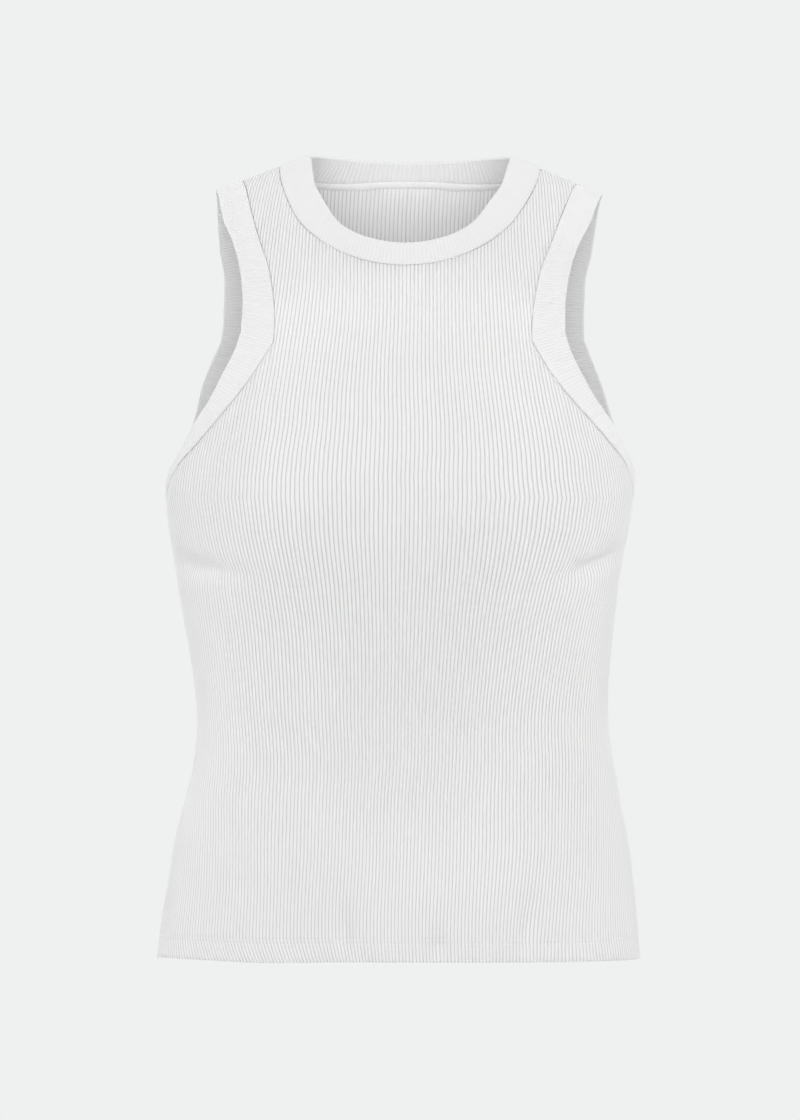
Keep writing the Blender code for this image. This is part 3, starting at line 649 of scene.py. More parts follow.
def edge_line(side, points, first, last, n=220):
    """The same for a band's free edge, through (x, z) points; its ends are (angle, height)."""
    x, z = np.array(points, float).T
    k = np.vstack([first, np.stack([angle_at(side, x), height_of(side, x, z)], 1), last])
    rough = lengths(k * (100, 1))
    q = np.linspace(0, rough[-1], 600)
    if first[0] == 0:                 # level at the centre line
        k, rough = np.vstack([k[1] * (-1, 1), k]), np.append(-rough[1], rough)
    if last[0] == 0:
        k, rough = np.vstack([k, k[-2] * (-1, 1)]), np.append(rough, 2 * rough[-1] - rough[-2])
    th, t = (smooth(rough, k[:, i], q) for i in (0, 1))
    d = lengths(body(side, th, t))
    g = np.linspace(0, d[-1], n)
    th, t = np.interp(g, d, th), np.interp(g, d, t)
    return body(side, th, t), normal(side, th, t)


def join(lines):
    """One rail: points, normals and leg parameter, 0-1 on the first line and 1-2 on the next."""
    p = np.concatenate([line[0] for line in lines])
    n = np.concatenate([line[1] for line in lines])
    u = np.concatenate([i + lengths(line[0]) / lengths(line[0])[-1]
                        for i, line in enumerate(lines)])
    return p, n, u


def rising(rail):
    """Leg parameters of a rail's points, with the doubled ones at its corners set just apart."""
    return rail[2] + np.arange(len(rail[2])) * 1e-9


def pick(q, place, row):
    """Vectors at q from a row of vectors at these places."""
    return np.stack([np.interp(q, place, row[:, i]) for i in range(3)], 1)


def at(rail, u):
    """Points and unit normals of a rail at leg parameters u."""
    return pick(u, rising(rail), rail[0]), unit(pick(u, rising(rail), rail[1]))


def neck_rails():
    """Seam and free edge of half the neckband, from the front centre to the back centre."""
    sf, sb = CORNER[FRONT][1], CORNER[BACK][1]
    seam = join([seam_line(FRONT, "neck", 0, sf), seam_line(BACK, "neck", sb, 0)])
    ends = {side: (0.0, float(height_of(side, np.float64(0), np.float64(NECK_EDGE[side][0][1]))))
            for side in (FRONT, BACK)}
    hps = lambda side: (float(angle_at(side, np.float64(EDGE_HPS))), SHOULDER)
    edge = join([edge_line(FRONT, NECK_EDGE[FRONT][1:], ends[FRONT], hps(FRONT)),
                 edge_line(BACK, NECK_EDGE[BACK][:0:-1], hps(BACK), ends[BACK])])
    return seam, edge


def arm_rails():
    """Seam and free edge of an armband, round from the shoulder down the front and up the back."""
    seam, edge = [], []
    for side in (FRONT, BACK):
        s_k, s_n, s_a = CORNER[side]
        tip = (float(angle_at(side, np.float64(EDGE_TIP))), SHOULDER)
        kx, kz = map(np.float64, EDGE_KINK[side])
        kink = (float(angle_at(side, kx)), float(height_of(side, kx, kz)))
        low = (np.pi / 2, float(height_of(side, WIDTH[-1, 1], np.float64(EDGE_BOTTOM))))
        s_part = [seam_line(side, "up", s_a, s_k), seam_line(side, "low", s_k, RIBS_ARM)]
        e_part = [edge_line(side, EDGE_UP[side], tip, kink),
                  edge_line(side, EDGE_LOW[side], kink, low)]
        if side == BACK:
            s_part = [(p[::-1], n[::-1]) for p, n in s_part[::-1]]
            e_part = [(p[::-1], n[::-1]) for p, n in e_part[::-1]]
        seam += s_part
        edge += e_part
    return join(seam), join(edge)


NECK_RAILS, ARM_RAILS = neck_rails(), arm_rails()
# rib strength along a band by leg parameter
NECK_RIBS = np.array([(0.0, 0.75), (0.35, 0.5), (0.7, 0.3), (1.1, 0.5), (1.4, 1.0), (2.0, 1.0)])
ARM_RIBS = np.array([(0.0, 0.4), (0.4, 0.75), (0.9, 1.0), (1.5, 0.8), (2.0, 0.4), (2.3, 1.0),
                     (3.6, 1.0), (4.0, 0.6)])
# rib pitch along a band by leg parameter
NECK_PITCH = np.array([(0.0, 2.85), (1.0, 3.1), (2.0, 3.45)])
ARM_PITCH = np.array([(0.0, 2.0), (0.95, 2.05), (1.2, 2.75), (2.0, 2.7), (2.5, 2.4), (4.0, 2.4)])
FACE_POINTS, EDGE_POINTS, SEAM_POINTS = 8, 5, 3
SEAM_ROUND, CROWN = 0.45, 0.35      # radius beside the seam, rise of the face's middle
# ribs on the round of the fold and of the seam, and the crown inside, as shares of those outside
FOLD_SHARE, SEAM_SHARE, CROWN_SHARE = 0.7, 0.8, 0.3
FAN = 1.28              # how much faster the neck edge's parameter runs at the back's centre
BAND_MAP = 2.0          # cloth map's length from one point of a band's section to the next


def rib_stations(rail, pitch, closed):
    """Leg parameters and rib numbers of a band's stations.

    Ribs are laid out by adding up length over pitch, scaled to a whole number.
    """
    d = lengths(rail[0])
    per_mm = 1 / np.interp(rail[2], pitch[:, 0], pitch[:, 1])
    ribs = np.concatenate([[0], np.cumsum(np.diff(d) * (per_mm[1:] + per_mm[:-1]) / 2)])
    count = int(round(ribs[-1]))
    number = (np.arange(count + 1)[:, None] + RIB_COLUMNS[None, :]).ravel()
    number = number[(number >= 0) & ((number < count - 1e-6) if closed else (number <= count))]
    u = np.interp(number, ribs * count / ribs[-1], rising(rail))
    return u, number, count


def upright(u):
    """Edge parameters beside those of the neck seam.

    The back's ribs stand upright at the centre and fan out towards the shoulder, as
    q (FAN - (FAN - 1) q^2) with q the share of the way from the back's centre.
    """
    q = np.clip(2 - u, 0, 1)
    return np.where(u > 1, 2 - q * (FAN - (FAN - 1) * q * q), u)


def band_grid(rails, u, u_edge, number, strength, knit):
    """Sections of a doubled band at its stations.

    Outer face from the seam to the edge, half circle round the fold, inner face
    back and a tight round at the seam; the crown is a sine across the face and
    the ribs are a ripple along the band, weaker round the fold.
    """
    (ps, ns), (pe, ne) = at(rails[0], u), at(rails[1], u_edge)
    across = pe - ps
    wide = np.linalg.norm(across, axis=1)
    across /= wide[:, None]
    wide = (wide - EDGE_GAP)[:, None]
    half = knit.band_thickness / MM / 2
    r_edge, r_seam = half, SEAM_ROUND
    f = np.linspace(0, 1, FACE_POINTS)
    fold = np.linspace(0, np.pi, EDGE_POINTS + 2)[1:-1]
    tuck = np.linspace(0, np.pi, SEAM_POINTS + 2)[1:-1]
    face_x = r_seam + f * (wide - r_seam - r_edge)
    x = np.concatenate([face_x, wide - r_edge + r_edge * np.sin(fold), face_x[:, ::-1],
                        np.broadcast_to(r_seam * (1 - np.sin(tuck)), (len(u), SEAM_POINTS))], 1)
    crown = CROWN * np.sin(np.pi * f)
    h = np.concatenate([half + crown, half * np.cos(fold), -half - CROWN_SHARE * crown,
                        -half * np.cos(tuck)])
    share = np.concatenate([np.ones(FACE_POINTS), FOLD_SHARE * np.abs(np.cos(fold)),
                            -np.ones(FACE_POINTS), -SEAM_SHARE * np.cos(tuck)])
    ripple = (knit.band_groove / MM * (rib_relief(number) - 1)
              * np.interp(u, strength[:, 0], strength[:, 1]))
    h = h[None, :] + share[None, :] * ripple[:, None]
    share = np.clip(x / wide, 0, 1)[..., None]
    n = unit(ns[:, None] * (1 - share) + ne[:, None] * share)
    grid = ps[:, None] + across[:, None] * (EDGE_GAP + x)[..., None] + n * h[..., None]
    return grid, np.arange(x.shape[1] + 1) * BAND_MAP


def mirrored(half):
    """Whole closed row of sections from half of it, both its ends lying on the centre plane."""
    half = half.copy()
    half[[0, -1], :, 0] = 0
    return np.concatenate([half, half[-2:0:-1] * (-1, 1, 1)])


# ---------------------------------------------------------------- sewing

STITCH = 1.7           # overlock stitch length
ALLOWANCE, BELOW = 6.0, 0.75    # the overlocked seam allowance: width, depth under the cloth
STRIP_POINTS, STRIP_START = 12, -0.7
SINK, SINK_OVER = 0.7, 2.0      # how far its edge at the seam sinks into the cloth, and over what
PINCH = 0.45           # how much thinner it is between stitches
SIDE_END, SHOULDER_END = 2.0, 0.3       # the side's and shoulder's stop short: mm, ribs
OVER_HEM, OVER_STEP = 22.0, 8.0         # the side's steps over the turned-up hem: height, run
HEM_END = 0.3                           # ribs that the hem's stitches keep from the side seams
STRIP_MAP, THREAD_MAP = (1.6, 1.1), (0.4, 0.3)      # cloth map: along, from point to point round


def strip_grid(p, n, aside, width, level, thick, phase):
    """Flat seam allowance: an ellipse section beside the seam, pinched a little at each stitch.

    Its edge at the seam sinks into the cloth.
    """
    turn = np.linspace(0, 2 * np.pi, STRIP_POINTS, endpoint=False)
    x = 0.5 * width * (1 - np.sign(np.cos(turn)) * np.abs(np.cos(turn)) ** 0.8) + STRIP_START
    bulge = 1 + PINCH * np.cos(2 * np.pi * phase[:, None] + 0.9 * x[None, :])
    sunk = SINK * np.clip(1 - (x - STRIP_START) / SINK_OVER, 0, 1)[None, :]
    h = level + sunk + 0.5 * thick * np.sin(turn)[None, :] * bulge
    wave = (0.3 * np.sin(2 * np.pi * phase) + 0.45 * np.sin(phase / 4.3)
            + 0.3 * np.sin(phase / 1.9 + 1))
    edge = wave[:, None] * np.clip(x / width, 0, 1)[None, :]
    return p[:, None] + aside[:, None] * (x[None, :] + edge)[..., None] + n[:, None] * h[..., None]


def stitch_phase(length):
    """Stations and stitch numbers along a seam of this length: four to a stitch."""
    count = max(2, int(round(length / STITCH)))
    phase = np.arange(4 * count + 1) / 4
    return phase * length / count, phase


def allowance_beside(rails, edge_of, closed, knit, sewing):
    """Allowance sections along a band's seam, turned away from its edge, and stitch numbers."""
    d = lengths(rails[0][0])
    place, phase = stitch_phase(d[-1])
    last = -1 if closed else None
    u = np.interp(place[:last], d, rising(rails[0]))
    (p, n), (e, _) = at(rails[0], u), at(rails[1], edge_of(u))
    level, thick = -knit.face_in / MM - BELOW, sewing.allowance_thickness / MM
    return strip_grid(p, n, unit(p - e), ALLOWANCE, level, thick, phase[:last]), phase


def add_allowance(name, grid, phase, knit, closed=True):
    """Overlocked allowance from its sections and stitch numbers."""
    along, round_it = STRIP_MAP
    return add_loop(name, grid, phase * along, np.arange(STRIP_POINTS + 1) * round_it,
                    overlock_material(knit), closed)


def thread_grid(p, n, aside, radius, points=5):
    """Round thread along a row of points."""
    turn = np.linspace(0, 2 * np.pi, points, endpoint=False)
    return (p[:, None] + n[:, None] * (radius * np.sin(turn))[None, :, None]
            + aside[:, None] * (radius * np.cos(turn))[None, :, None])


def hem_path(row, stitch, dip_from, dip_to, sway):
    """Closed path round the hem, front then back: it rises and dips once a stitch.

    row is the height above the hem, and sway moves it up and down by turns.
    Points closer to a side seam than HEM_END are left out.
    """
    pts, normals, per = [], [], 4
    for side in (FRONT, BACK):
        girth = 2 * RIBS_HEM * HEM_PITCH
        count = int(round(girth / stitch / 2)) * 2
        phase = np.arange(count * per) / per
        s = (-1 if side == FRONT else 1) * RIBS_HEM * (1 - 2 * phase / count)
        lift = 0.5 - 0.5 * np.cos(2 * np.pi * phase)
        t = HEM + row + sway * np.cos(np.pi * phase)
        keep = np.abs(s) < rib_count(t) - HEM_END
        p, n = cloth(side, s[keep], t[keep], dip_from + (dip_to - dip_from) * lift[keep])
        pts.append(p)
        normals.append(n)
    return np.concatenate(pts), np.concatenate(normals)


# ---------------------------------------------------------------- materials

def wire(tree, value, socket):
    """Sets a socket from another socket, or from a plain value."""
    if isinstance(value, bpy.types.NodeSocket):
        tree.links.new(value, socket)
    elif value is not None:
        socket.default_value = value


def calc(tree, operation, a, b=None, c=None):
    """Math node; returns its output."""
    node = tree.nodes.new("ShaderNodeMath")
    node.operation = operation
    for value, socket in zip((a, b, c), node.inputs):
        wire(tree, value, socket)
    return node.outputs[0]


def ramp(tree, value, lo, hi, out_lo=0.0, out_hi=1.0):
    """Smooth map of a value from one range to another."""
    node = tree.nodes.new("ShaderNodeMapRange")
    node.interpolation_type = "SMOOTHSTEP"
    names = ("Value", "From Min", "From Max", "To Min", "To Max")
    for v, name in zip((value, lo, hi, out_lo, out_hi), names):
        wire(tree, v, node.inputs[name])
    return node.outputs[0]


def new_group(name, inputs, outputs):
    """Empty shader node group with its sockets; returns the tree and its two end nodes."""
    tree = bpy.data.node_groups.new(name, "ShaderNodeTree")
    for label, kind, default in inputs:
        socket = tree.interface.new_socket(name=label, in_out="INPUT", socket_type=kind)
        if default is not None:
            socket.default_value = default
    for label, kind in outputs:
        tree.interface.new_socket(name=label, in_out="OUTPUT", socket_type=kind)
    return tree, tree.nodes.new("NodeGroupInput"), tree.nodes.new("NodeGroupOutput")


def knit_group():
    """Wales of V stitches: a slanted wave on each leg of a wale, and a mask of the grooves, which
    the materials use for painted shade and roughness.
    """
    old = bpy.data.node_groups.get("knit_wales")
    if old:
        return old
    tree, start, end = new_group(
        "knit_wales",
        [("Map", "NodeSocketVector", None), ("Ribs", "NodeSocketFloat", 1.0),
         ("Course", "NodeSocketFloat", 1.1), ("Slant", "NodeSocketFloat", 1.2)],
        [("Stitch", "NodeSocketFloat"), ("Groove", "NodeSocketFloat")])
    split = tree.nodes.new("ShaderNodeSeparateXYZ")
    wire(tree, start.outputs["Map"], split.inputs[0])
    rib = calc(tree, "ADD", calc(tree, "MULTIPLY", split.outputs["X"], start.outputs["Ribs"]), 0.5)
    leg = calc(tree, "ABSOLUTE", calc(tree, "SUBTRACT", calc(tree, "FRACT", rib), 0.5))
    course = calc(tree, "DIVIDE", split.outputs["Y"], start.outputs["Course"])
    phase = calc(tree, "ADD", course, calc(tree, "MULTIPLY", leg, start.outputs["Slant"]))
    turn = calc(tree, "MULTIPLY", phase, 2 * np.pi)
    wave = calc(tree, "MULTIPLY_ADD", calc(tree, "COSINE", turn), 0.5, 0.5)
    groove = ramp(tree, leg, 0.26, 0.5)
    middle = ramp(tree, leg, 0.0, 0.06, 0.55, 1.0)
    leg_wave = calc(tree, "MULTIPLY", wave, middle)
    stitch = calc(tree, "MULTIPLY", leg_wave, calc(tree, "SUBTRACT", 1.0, groove))
    wire(tree, stitch, end.inputs["Stitch"])
    wire(tree, groove, end.inputs["Groove"])
    return tree


def cotton_group():
    """Cotton surface: slow patches of tone and fine fuzz, from noise on object coordinates."""
    old = bpy.data.node_groups.get("cotton_surface")
    if old:
        return old
    tree, start, end = new_group(
        "cotton_surface",
        [("Position", "NodeSocketVector", None), ("Fuzz scale", "NodeSocketFloat", 1800.0)],
        [("Tone", "NodeSocketFloat"), ("Fuzz", "NodeSocketFloat")])
    for label, scale, detail, out in (("tone", 9.0, 2.0, "Tone"), ("fuzz", None, 3.0, "Fuzz")):
        noise = tree.nodes.new("ShaderNodeTexNoise")
        noise.label = label
        noise.inputs["Detail"].default_value = detail
        wire(tree, start.outputs["Position"], noise.inputs["Vector"])
        wire(tree, start.outputs["Fuzz scale"] if scale is None else scale, noise.inputs["Scale"])
        wire(tree, noise.outputs[0], end.inputs[out])
    return tree


# painted light by cloth height: centre and share of the front's bell (a painted highlight on the
# chest) and of the back's bell (painted shade inside the back), and their spread
CHEST_HIGHLIGHT, NAPE_SHADE, PAINTED_LIGHT_SPREAD = (-146.0, 0.045), (-134.0, -0.075), 22.0


def painted_light_by_height(tree, coords):
    """Painted light by a bell over the height: a painted highlight on the chest and painted shade
    inside the back.
    """
    uv, place = (tree.nodes.new("ShaderNodeSeparateXYZ") for _ in range(2))
    wire(tree, coords.outputs["UV"], uv.inputs[0])
    wire(tree, coords.outputs["Object"], place.inputs[0])
    front = ramp(tree, place.outputs["Y"], 0.01, -0.01)
    centre, share = (calc(tree, "MULTIPLY_ADD", front, c - n, n) for c, n in zip(CHEST_HIGHLIGHT, NAPE_SHADE))
    off = calc(tree, "DIVIDE", calc(tree, "SUBTRACT", uv.outputs["Y"], centre), PAINTED_LIGHT_SPREAD)
    bell = calc(tree, "EXPONENT", calc(tree, "MULTIPLY", calc(tree, "MULTIPLY", off, off), -1.0))
    return calc(tree, "MULTIPLY_ADD", bell, share, 1.0)


def cloth_material(name, colour, groove_shade_colour, course, slant, groove_shade_mix, stitch_height, roughness,
                   sheen):
    """Matt cotton knit on the cloth map: wales, V stitches, painted shade down in the grooves,
    fuzz, random change of tone, and painted light and shade by height.
    """
    mat = bpy.data.materials.get(name)
    if mat:
        return mat
    mat = bpy.data.materials.new(name)
    mat.use_nodes = True
    tree = mat.node_tree
    shader = tree.nodes["Principled BSDF"]
    coords = tree.nodes.new("ShaderNodeTexCoord")
    knit = tree.nodes.new("ShaderNodeGroup")
    knit.node_tree = knit_group()
    knit.inputs["Course"].default_value = course
    knit.inputs["Slant"].default_value = slant
    wire(tree, coords.outputs["UV"], knit.inputs["Map"])
    cotton = tree.nodes.new("ShaderNodeGroup")
    cotton.node_tree = cotton_group()
    wire(tree, coords.outputs["Object"], cotton.inputs["Position"])
    # painted shade: the groove colour is mixed in down between the ribs, as much as the groove
    # shade mix says
    mix = tree.nodes.new("ShaderNodeMix")
    mix.data_type = "RGBA"
    wire(tree, calc(tree, "MULTIPLY", knit.outputs["Groove"], groove_shade_mix), mix.inputs[0])
    mix.inputs[6].default_value = (*colour, 1)
    mix.inputs[7].default_value = (*groove_shade_colour, 1)
    tint = tree.nodes.new("ShaderNodeHueSaturation")
    wire(tree, mix.outputs[2], tint.inputs["Color"])
    tone = ramp(tree, cotton.outputs["Tone"], 0.3, 0.7, 0.985, 1.01)
    # random tone of the cotton times the painted highlight and shade by height
    wire(tree, calc(tree, "MULTIPLY", tone, painted_light_by_height(tree, coords)), tint.inputs["Value"])
    wire(tree, tint.outputs[0], shader.inputs["Base Color"])
    height = calc(tree, "MULTIPLY_ADD", knit.outputs["Stitch"], stitch_height,
                  calc(tree, "MULTIPLY", cotton.outputs["Fuzz"], 0.35))
    bump = tree.nodes.new("ShaderNodeBump")
    bump.inputs["Strength"].default_value = 0.35
    bump.inputs["Distance"].default_value = 0.00012
    wire(tree, height, bump.inputs["Height"])
    wire(tree, bump.outputs[0], shader.inputs["Normal"])
    wire(tree, ramp(tree, knit.outputs["Groove"], 0, 1, roughness, min(1.0, roughness + 0.08)),
         shader.inputs["Roughness"])
    shader.inputs["Specular IOR Level"].default_value = 0.25
    shader.inputs["Sheen Weight"].default_value = sheen
    shader.inputs["Sheen Roughness"].default_value = 0.6
    return mat


def plain_emission(name, colour):
    """Even backdrop colour that takes no shadow, and is clear from behind."""
    mat = bpy.data.materials.get(name) or bpy.data.materials.new(name)
    mat.use_nodes = True
    tree = mat.node_tree
    tree.nodes.clear()
    out, glow = tree.nodes.new("ShaderNodeOutputMaterial"), tree.nodes.new("ShaderNodeEmission")
    glow.inputs["Color"].default_value = (*colour, 1)
    clear, mix = tree.nodes.new("ShaderNodeBsdfTransparent"), tree.nodes.new("ShaderNodeMixShader")
    tree.links.new(tree.nodes.new("ShaderNodeNewGeometry").outputs["Backfacing"], mix.inputs[0])
    tree.links.new(glow.outputs[0], mix.inputs[1])
    tree.links.new(clear.outputs[0], mix.inputs[2])
    tree.links.new(mix.outputs[0], out.inputs["Surface"])
    return mat


# ---------------------------------------------------------------- settings

class TankTopKnit(bpy.types.PropertyGroup):
    """Sizes and colours of the knitted cloth"""
    face_out: bpy.props.FloatProperty(
        name="Outer face", description="Height of the wales over the middle of the cloth",
        default=0.0009, min=0.0, max=0.003, unit="LENGTH", precision=5)
    face_in: bpy.props.FloatProperty(
        name="Inner face", description="Depth of the inner wales below the middle of the cloth",
        default=0.0011, min=0.0, max=0.003, unit="LENGTH", precision=5)
    groove_depth: bpy.props.FloatProperty(
        name="Groove depth", description="Depth of the grooves between the panels' ribs",
        default=0.001, min=0.0, max=0.002, unit="LENGTH", precision=5)
    band_thickness: bpy.props.FloatProperty(
        name="Band thickness", description="Thickness of the doubled neckband and armbands",
        default=0.0022, min=0.001, max=0.004, unit="LENGTH", precision=5)
    band_groove: bpy.props.FloatProperty(
        name="Band groove depth", description="Depth of the faint ribs across the bands",
        default=0.0004, min=0.0, max=0.001, unit="LENGTH", precision=5)
    panel_colour: bpy.props.FloatVectorProperty(
        name="Panel colour", description="Colour of the panels' wales",
        default=(0.88, 0.88, 0.88), size=3, subtype="COLOR", min=0.0, max=1.0)
    # painted shade: the neckband is the same cloth as the armbands, with its colour set a little
    # darker
    neckband_shaded_colour: bpy.props.FloatVectorProperty(
        name="Neckband colour", description="Colour of the neckband",
        default=(0.865, 0.865, 0.865), size=3, subtype="COLOR", min=0.0, max=1.0)
    band_colour: bpy.props.FloatVectorProperty(
        name="Band colour", description="Colour of the armbands and the seam allowances",
        default=(0.885, 0.885, 0.885), size=3, subtype="COLOR", min=0.0, max=1.0)
    # painted shade: the darkness down between the ribs is painted into this colour
    groove_shade_colour: bpy.props.FloatVectorProperty(
        name="Groove colour", description="Colour down between the ribs",
        default=(0.62, 0.62, 0.62), size=3, subtype="COLOR", min=0.0, max=1.0)


class TankTopSewing(bpy.types.PropertyGroup):
    """Sizes of the seams and stitches"""
    hem_stitch: bpy.props.FloatProperty(
        name="Hem stitch", description="Length of a stitch of the hem's two needle rows",
        default=0.0026, min=0.001, max=0.006, unit="LENGTH", precision=5)
    thread: bpy.props.FloatProperty(
        name="Thread radius", description="Radius of the sewing thread",
        default=0.00022, min=0.00005, max=0.0006, unit="LENGTH", precision=5)
    allowance_thickness: bpy.props.FloatProperty(
        name="Allowance thickness", description="Thickness of the overlocked seam allowances",
        default=0.0014, min=0.0005, max=0.003, unit="LENGTH", precision=5)


class TankTopStage(bpy.types.PropertyGroup):
    """Backdrop, light and camera"""
    backdrop: bpy.props.FloatVectorProperty(
        name="Backdrop", description="Colour of the floor and the backdrop",
        default=(0.855, 0.879, 0.871), size=3, subtype="COLOR", min=0.0, max=1.0)
    glow: bpy.props.FloatProperty(
        name="Backdrop glow", description="Strength of the even light from behind the garment",
        default=1.9, min=0.0)
    key: bpy.props.FloatProperty(
        name="Key light", description="Power of the broad soft light round the camera",
        default=101.0, min=0.0, unit="POWER")
    top: bpy.props.FloatProperty(
        name="Top light", description="Power of the soft light above the camera",
        default=12.0, min=0.0, unit="POWER")
    distance: bpy.props.FloatProperty(
        name="Camera distance", description="Distance of the camera in front of the side seams",
        default=4.0, min=1.0, unit="LENGTH")


# ---------------------------------------------------------------- operators

def knit_materials(knit):
    """The panels', the neckband's and the armbands' materials, from the settings."""
    panel = cloth_material("rib_knit_cotton", tuple(knit.panel_colour), tuple(knit.groove_shade_colour),
                           1.15, 1.3, 1.0, 1.0, 0.88, 0.12)
    bands = [cloth_material(name, tuple(colour), tuple(knit.groove_shade_colour),
                            1.05, 1.3, 0.16, 1.0, 0.86, 0.12)
             for name, colour in (("neckband_knit_cotton", knit.neckband_shaded_colour),
                                  ("band_knit_cotton", knit.band_colour))]
    return panel, *bands


def overlock_material(knit):
    """Thread-wrapped edge: the same knit map read as close slanted threads, with painted shade
    between them.
    """
    return cloth_material("overlock_thread", tuple(knit.band_colour), tuple(knit.groove_shade_colour),
                          1.6, 0.4, 0.35, 1.4, 0.8, 0.1)


def dress(piece, node=None):
    """Puts a piece on the garment's one body, in place of its plain node."""
    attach(piece, "root")
    if node:
        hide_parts(node)


class TANKTOP_OT_panels(bpy.types.Operator):
    """Build the front and back panels as closed ribbed shells"""
    bl_idname = "object.tank_top_panels"
    bl_label = "Front and Back"

    def execute(self, context):
        knit = context.scene.tank_top_knit
        panel, _, _ = knit_materials(knit)
        for side, node, flat, area in ((FRONT, "front", (0.40, 0.60), 0.170),
                                       (BACK, "back", (0.40, 0.58), 0.175)):
            piece = build_panel(node + "_panel", side, knit, panel)
            dress(piece, node)
        return {"FINISHED"}


class TANKTOP_OT_neckband(bpy.types.Operator):
    """Build the doubled neckband and the overlocked seam under it"""
    bl_idname = "object.tank_top_neckband"
    bl_label = "Neckband"

    def execute(self, context):
        knit, sewing = context.scene.tank_top_knit, context.scene.tank_top_sewing
        _, material, _ = knit_materials(knit)
        u, number, count = rib_stations(NECK_RAILS[0], NECK_PITCH, False)
        grid, v = band_grid(NECK_RAILS, u, upright(u), number, NECK_RIBS, knit)
        grid = mirrored(grid)
        along = np.concatenate([number, 2 * count - number[-2:0:-1], [2 * count]])
        piece = add_loop("neckband_ribbed", grid, along, v, material)
        strip, phase = allowance_beside(NECK_RAILS, upright, False, knit, sewing)
        phase = np.concatenate([phase, 2 * phase[-1] - phase[-2:0:-1], [2 * phase[-1]]])
        seam = add_allowance("neck_seam_allowance", mirrored(strip), phase, knit)
        dress(piece, "neckband")
        dress(seam)
        return {"FINISHED"}


class TANKTOP_OT_armbands(bpy.types.Operator):
    """Build the two doubled armbands and the overlocked seams under them"""
    bl_idname = "object.tank_top_armbands"
    bl_label = "Armbands"

    def execute(self, context):
        knit, sewing = context.scene.tank_top_knit, context.scene.tank_top_sewing
        _, _, material = knit_materials(knit)
        u, number, count = rib_stations(ARM_RAILS[0], ARM_PITCH, True)
        grid, v = band_grid(ARM_RAILS, u, u, number, ARM_RIBS, knit)
        strip, phase = allowance_beside(ARM_RAILS, lambda u: u, True, knit, sewing)
        for node, flip in (("armband_right", 1), ("armband_left", -1)):
            piece = add_loop(node + "_ribbed", grid * (flip, 1, 1), np.append(number, count), v,
                             material)
            seam = add_allowance(node + "_seam_allowance", strip * (flip, 1, 1), phase, knit)
            dress(piece, node)
            dress(seam)
        return {"FINISHED"}


class TANKTOP_OT_seams(bpy.types.Operator):
    """Build the overlocked side and shoulder seams inside the panels"""
    bl_idname = "object.tank_top_seams"
    bl_label = "Side and Shoulder Seams"

    def execute(self, context):
        knit, sewing = context.scene.tank_top_knit, context.scene.tank_top_sewing
        level, thick = -knit.face_in / MM - BELOW, sewing.allowance_thickness / MM
        place, phase = stitch_phase(UNDERARM - HEM - 2 * SIDE_END)
        t = HEM + SIDE_END + place
        p = body(FRONT, np.full(len(t), np.pi / 2), t)
        n = np.tile((1.0, 0.0, 0.0), (len(t), 1))
        aside = np.tile((0.0, 1.0, 0.0), (len(t), 1))
        over_hem = np.clip((HEM + OVER_HEM - t) / OVER_STEP, 0, 1)[:, None]
        sides = strip_grid(p, n, aside, ALLOWANCE, level - over_hem, thick, phase)
        s = np.linspace(CORNER[FRONT][1] + SHOULDER_END, CORNER[FRONT][2] - SHOULDER_END, 90)
        line = body(FRONT, angle_of(FRONT, s, 0 * s), 0 * s)
        d = lengths(line)
        place_top, phase_top = stitch_phase(d[-1])
        q = pick(place_top, d, line)
        back = np.tile((0.0, 1.0, 0.0), (len(q), 1))
        up = np.cross(unit(np.gradient(q, axis=0)), back)
        tops = strip_grid(q, up, back, ALLOWANCE, level, thick, phase_top)
        for label, flip in (("right", 1), ("left", -1)):
            for kind, grid, along in (("side_seam_allowance_", sides, phase),
                                      ("shoulder_seam_allowance_", tops, phase_top)):
                dress(add_allowance(kind + label, grid * (flip, 1, 1), along, knit, closed=False))
        return {"FINISHED"}


class TANKTOP_OT_hem_stitching(bpy.types.Operator):
    """Stitch the turned-up hem with two needle rows outside and a looper thread inside"""
    bl_idname = "object.tank_top_hem_stitching"
    bl_label = "Hem Stitching"

    def execute(self, context):
        knit, sewing = context.scene.tank_top_knit, context.scene.tank_top_sewing
        material, radius = overlock_material(knit), sewing.thread / MM
        stitch, out, deep = sewing.hem_stitch / MM, knit.face_out / MM, knit.face_in / MM
        # name, height, stitch, level at its ends and at its middle, sway
        rows = [("hem_needle_row_lower", NEEDLE_ROWS[0], stitch, out - 1.0, out - 0.1, 0.0),
                ("hem_needle_row_upper", NEEDLE_ROWS[1], stitch, out - 1.0, out - 0.1, 0.0),
                ("hem_looper_thread", sum(NEEDLE_ROWS) / 2, stitch / 1.5,
                 -deep - 1.2, -deep - 1.35, 2.6)]
        for name, row, length, low, high, sway in rows:
            p, n = hem_path(row, length, low, high, sway)
            run = np.roll(p, -1, axis=0) - np.roll(p, 1, axis=0)
            grid = thread_grid(p, n, unit(np.cross(run, n)), radius)
            along, turn = (np.arange(k + 1) * step for k, step in zip(grid.shape, THREAD_MAP))
            dress(add_loop(name, grid, along, turn, material))
        return {"FINISHED"}


# backdrop in metres: half width, height of the floor, start and radius of the bend, wall's height
SWEEP_HALF, FLOOR, BEND_FROM, BEND, WALL = 5.0, -1.25, 2.2, 0.8, 4.0
# light from behind by direction y: it starts, is full and is gone; least, and what stays behind
AIR_START, AIR_FULL, AIR_GONE, AIR_LEAST, AIR_STAYS = -0.6, 0.55, 0.85, 0.05, 0.25
SENSOR, VIEW_WIDTH = 36.0, 0.56                 # camera: sensor in mm, width seen in metres
VIEW_X, VIEW_Z, LIT_Z = -0.0007, -0.2821, -0.28     # camera's centre, height the lamps aim at


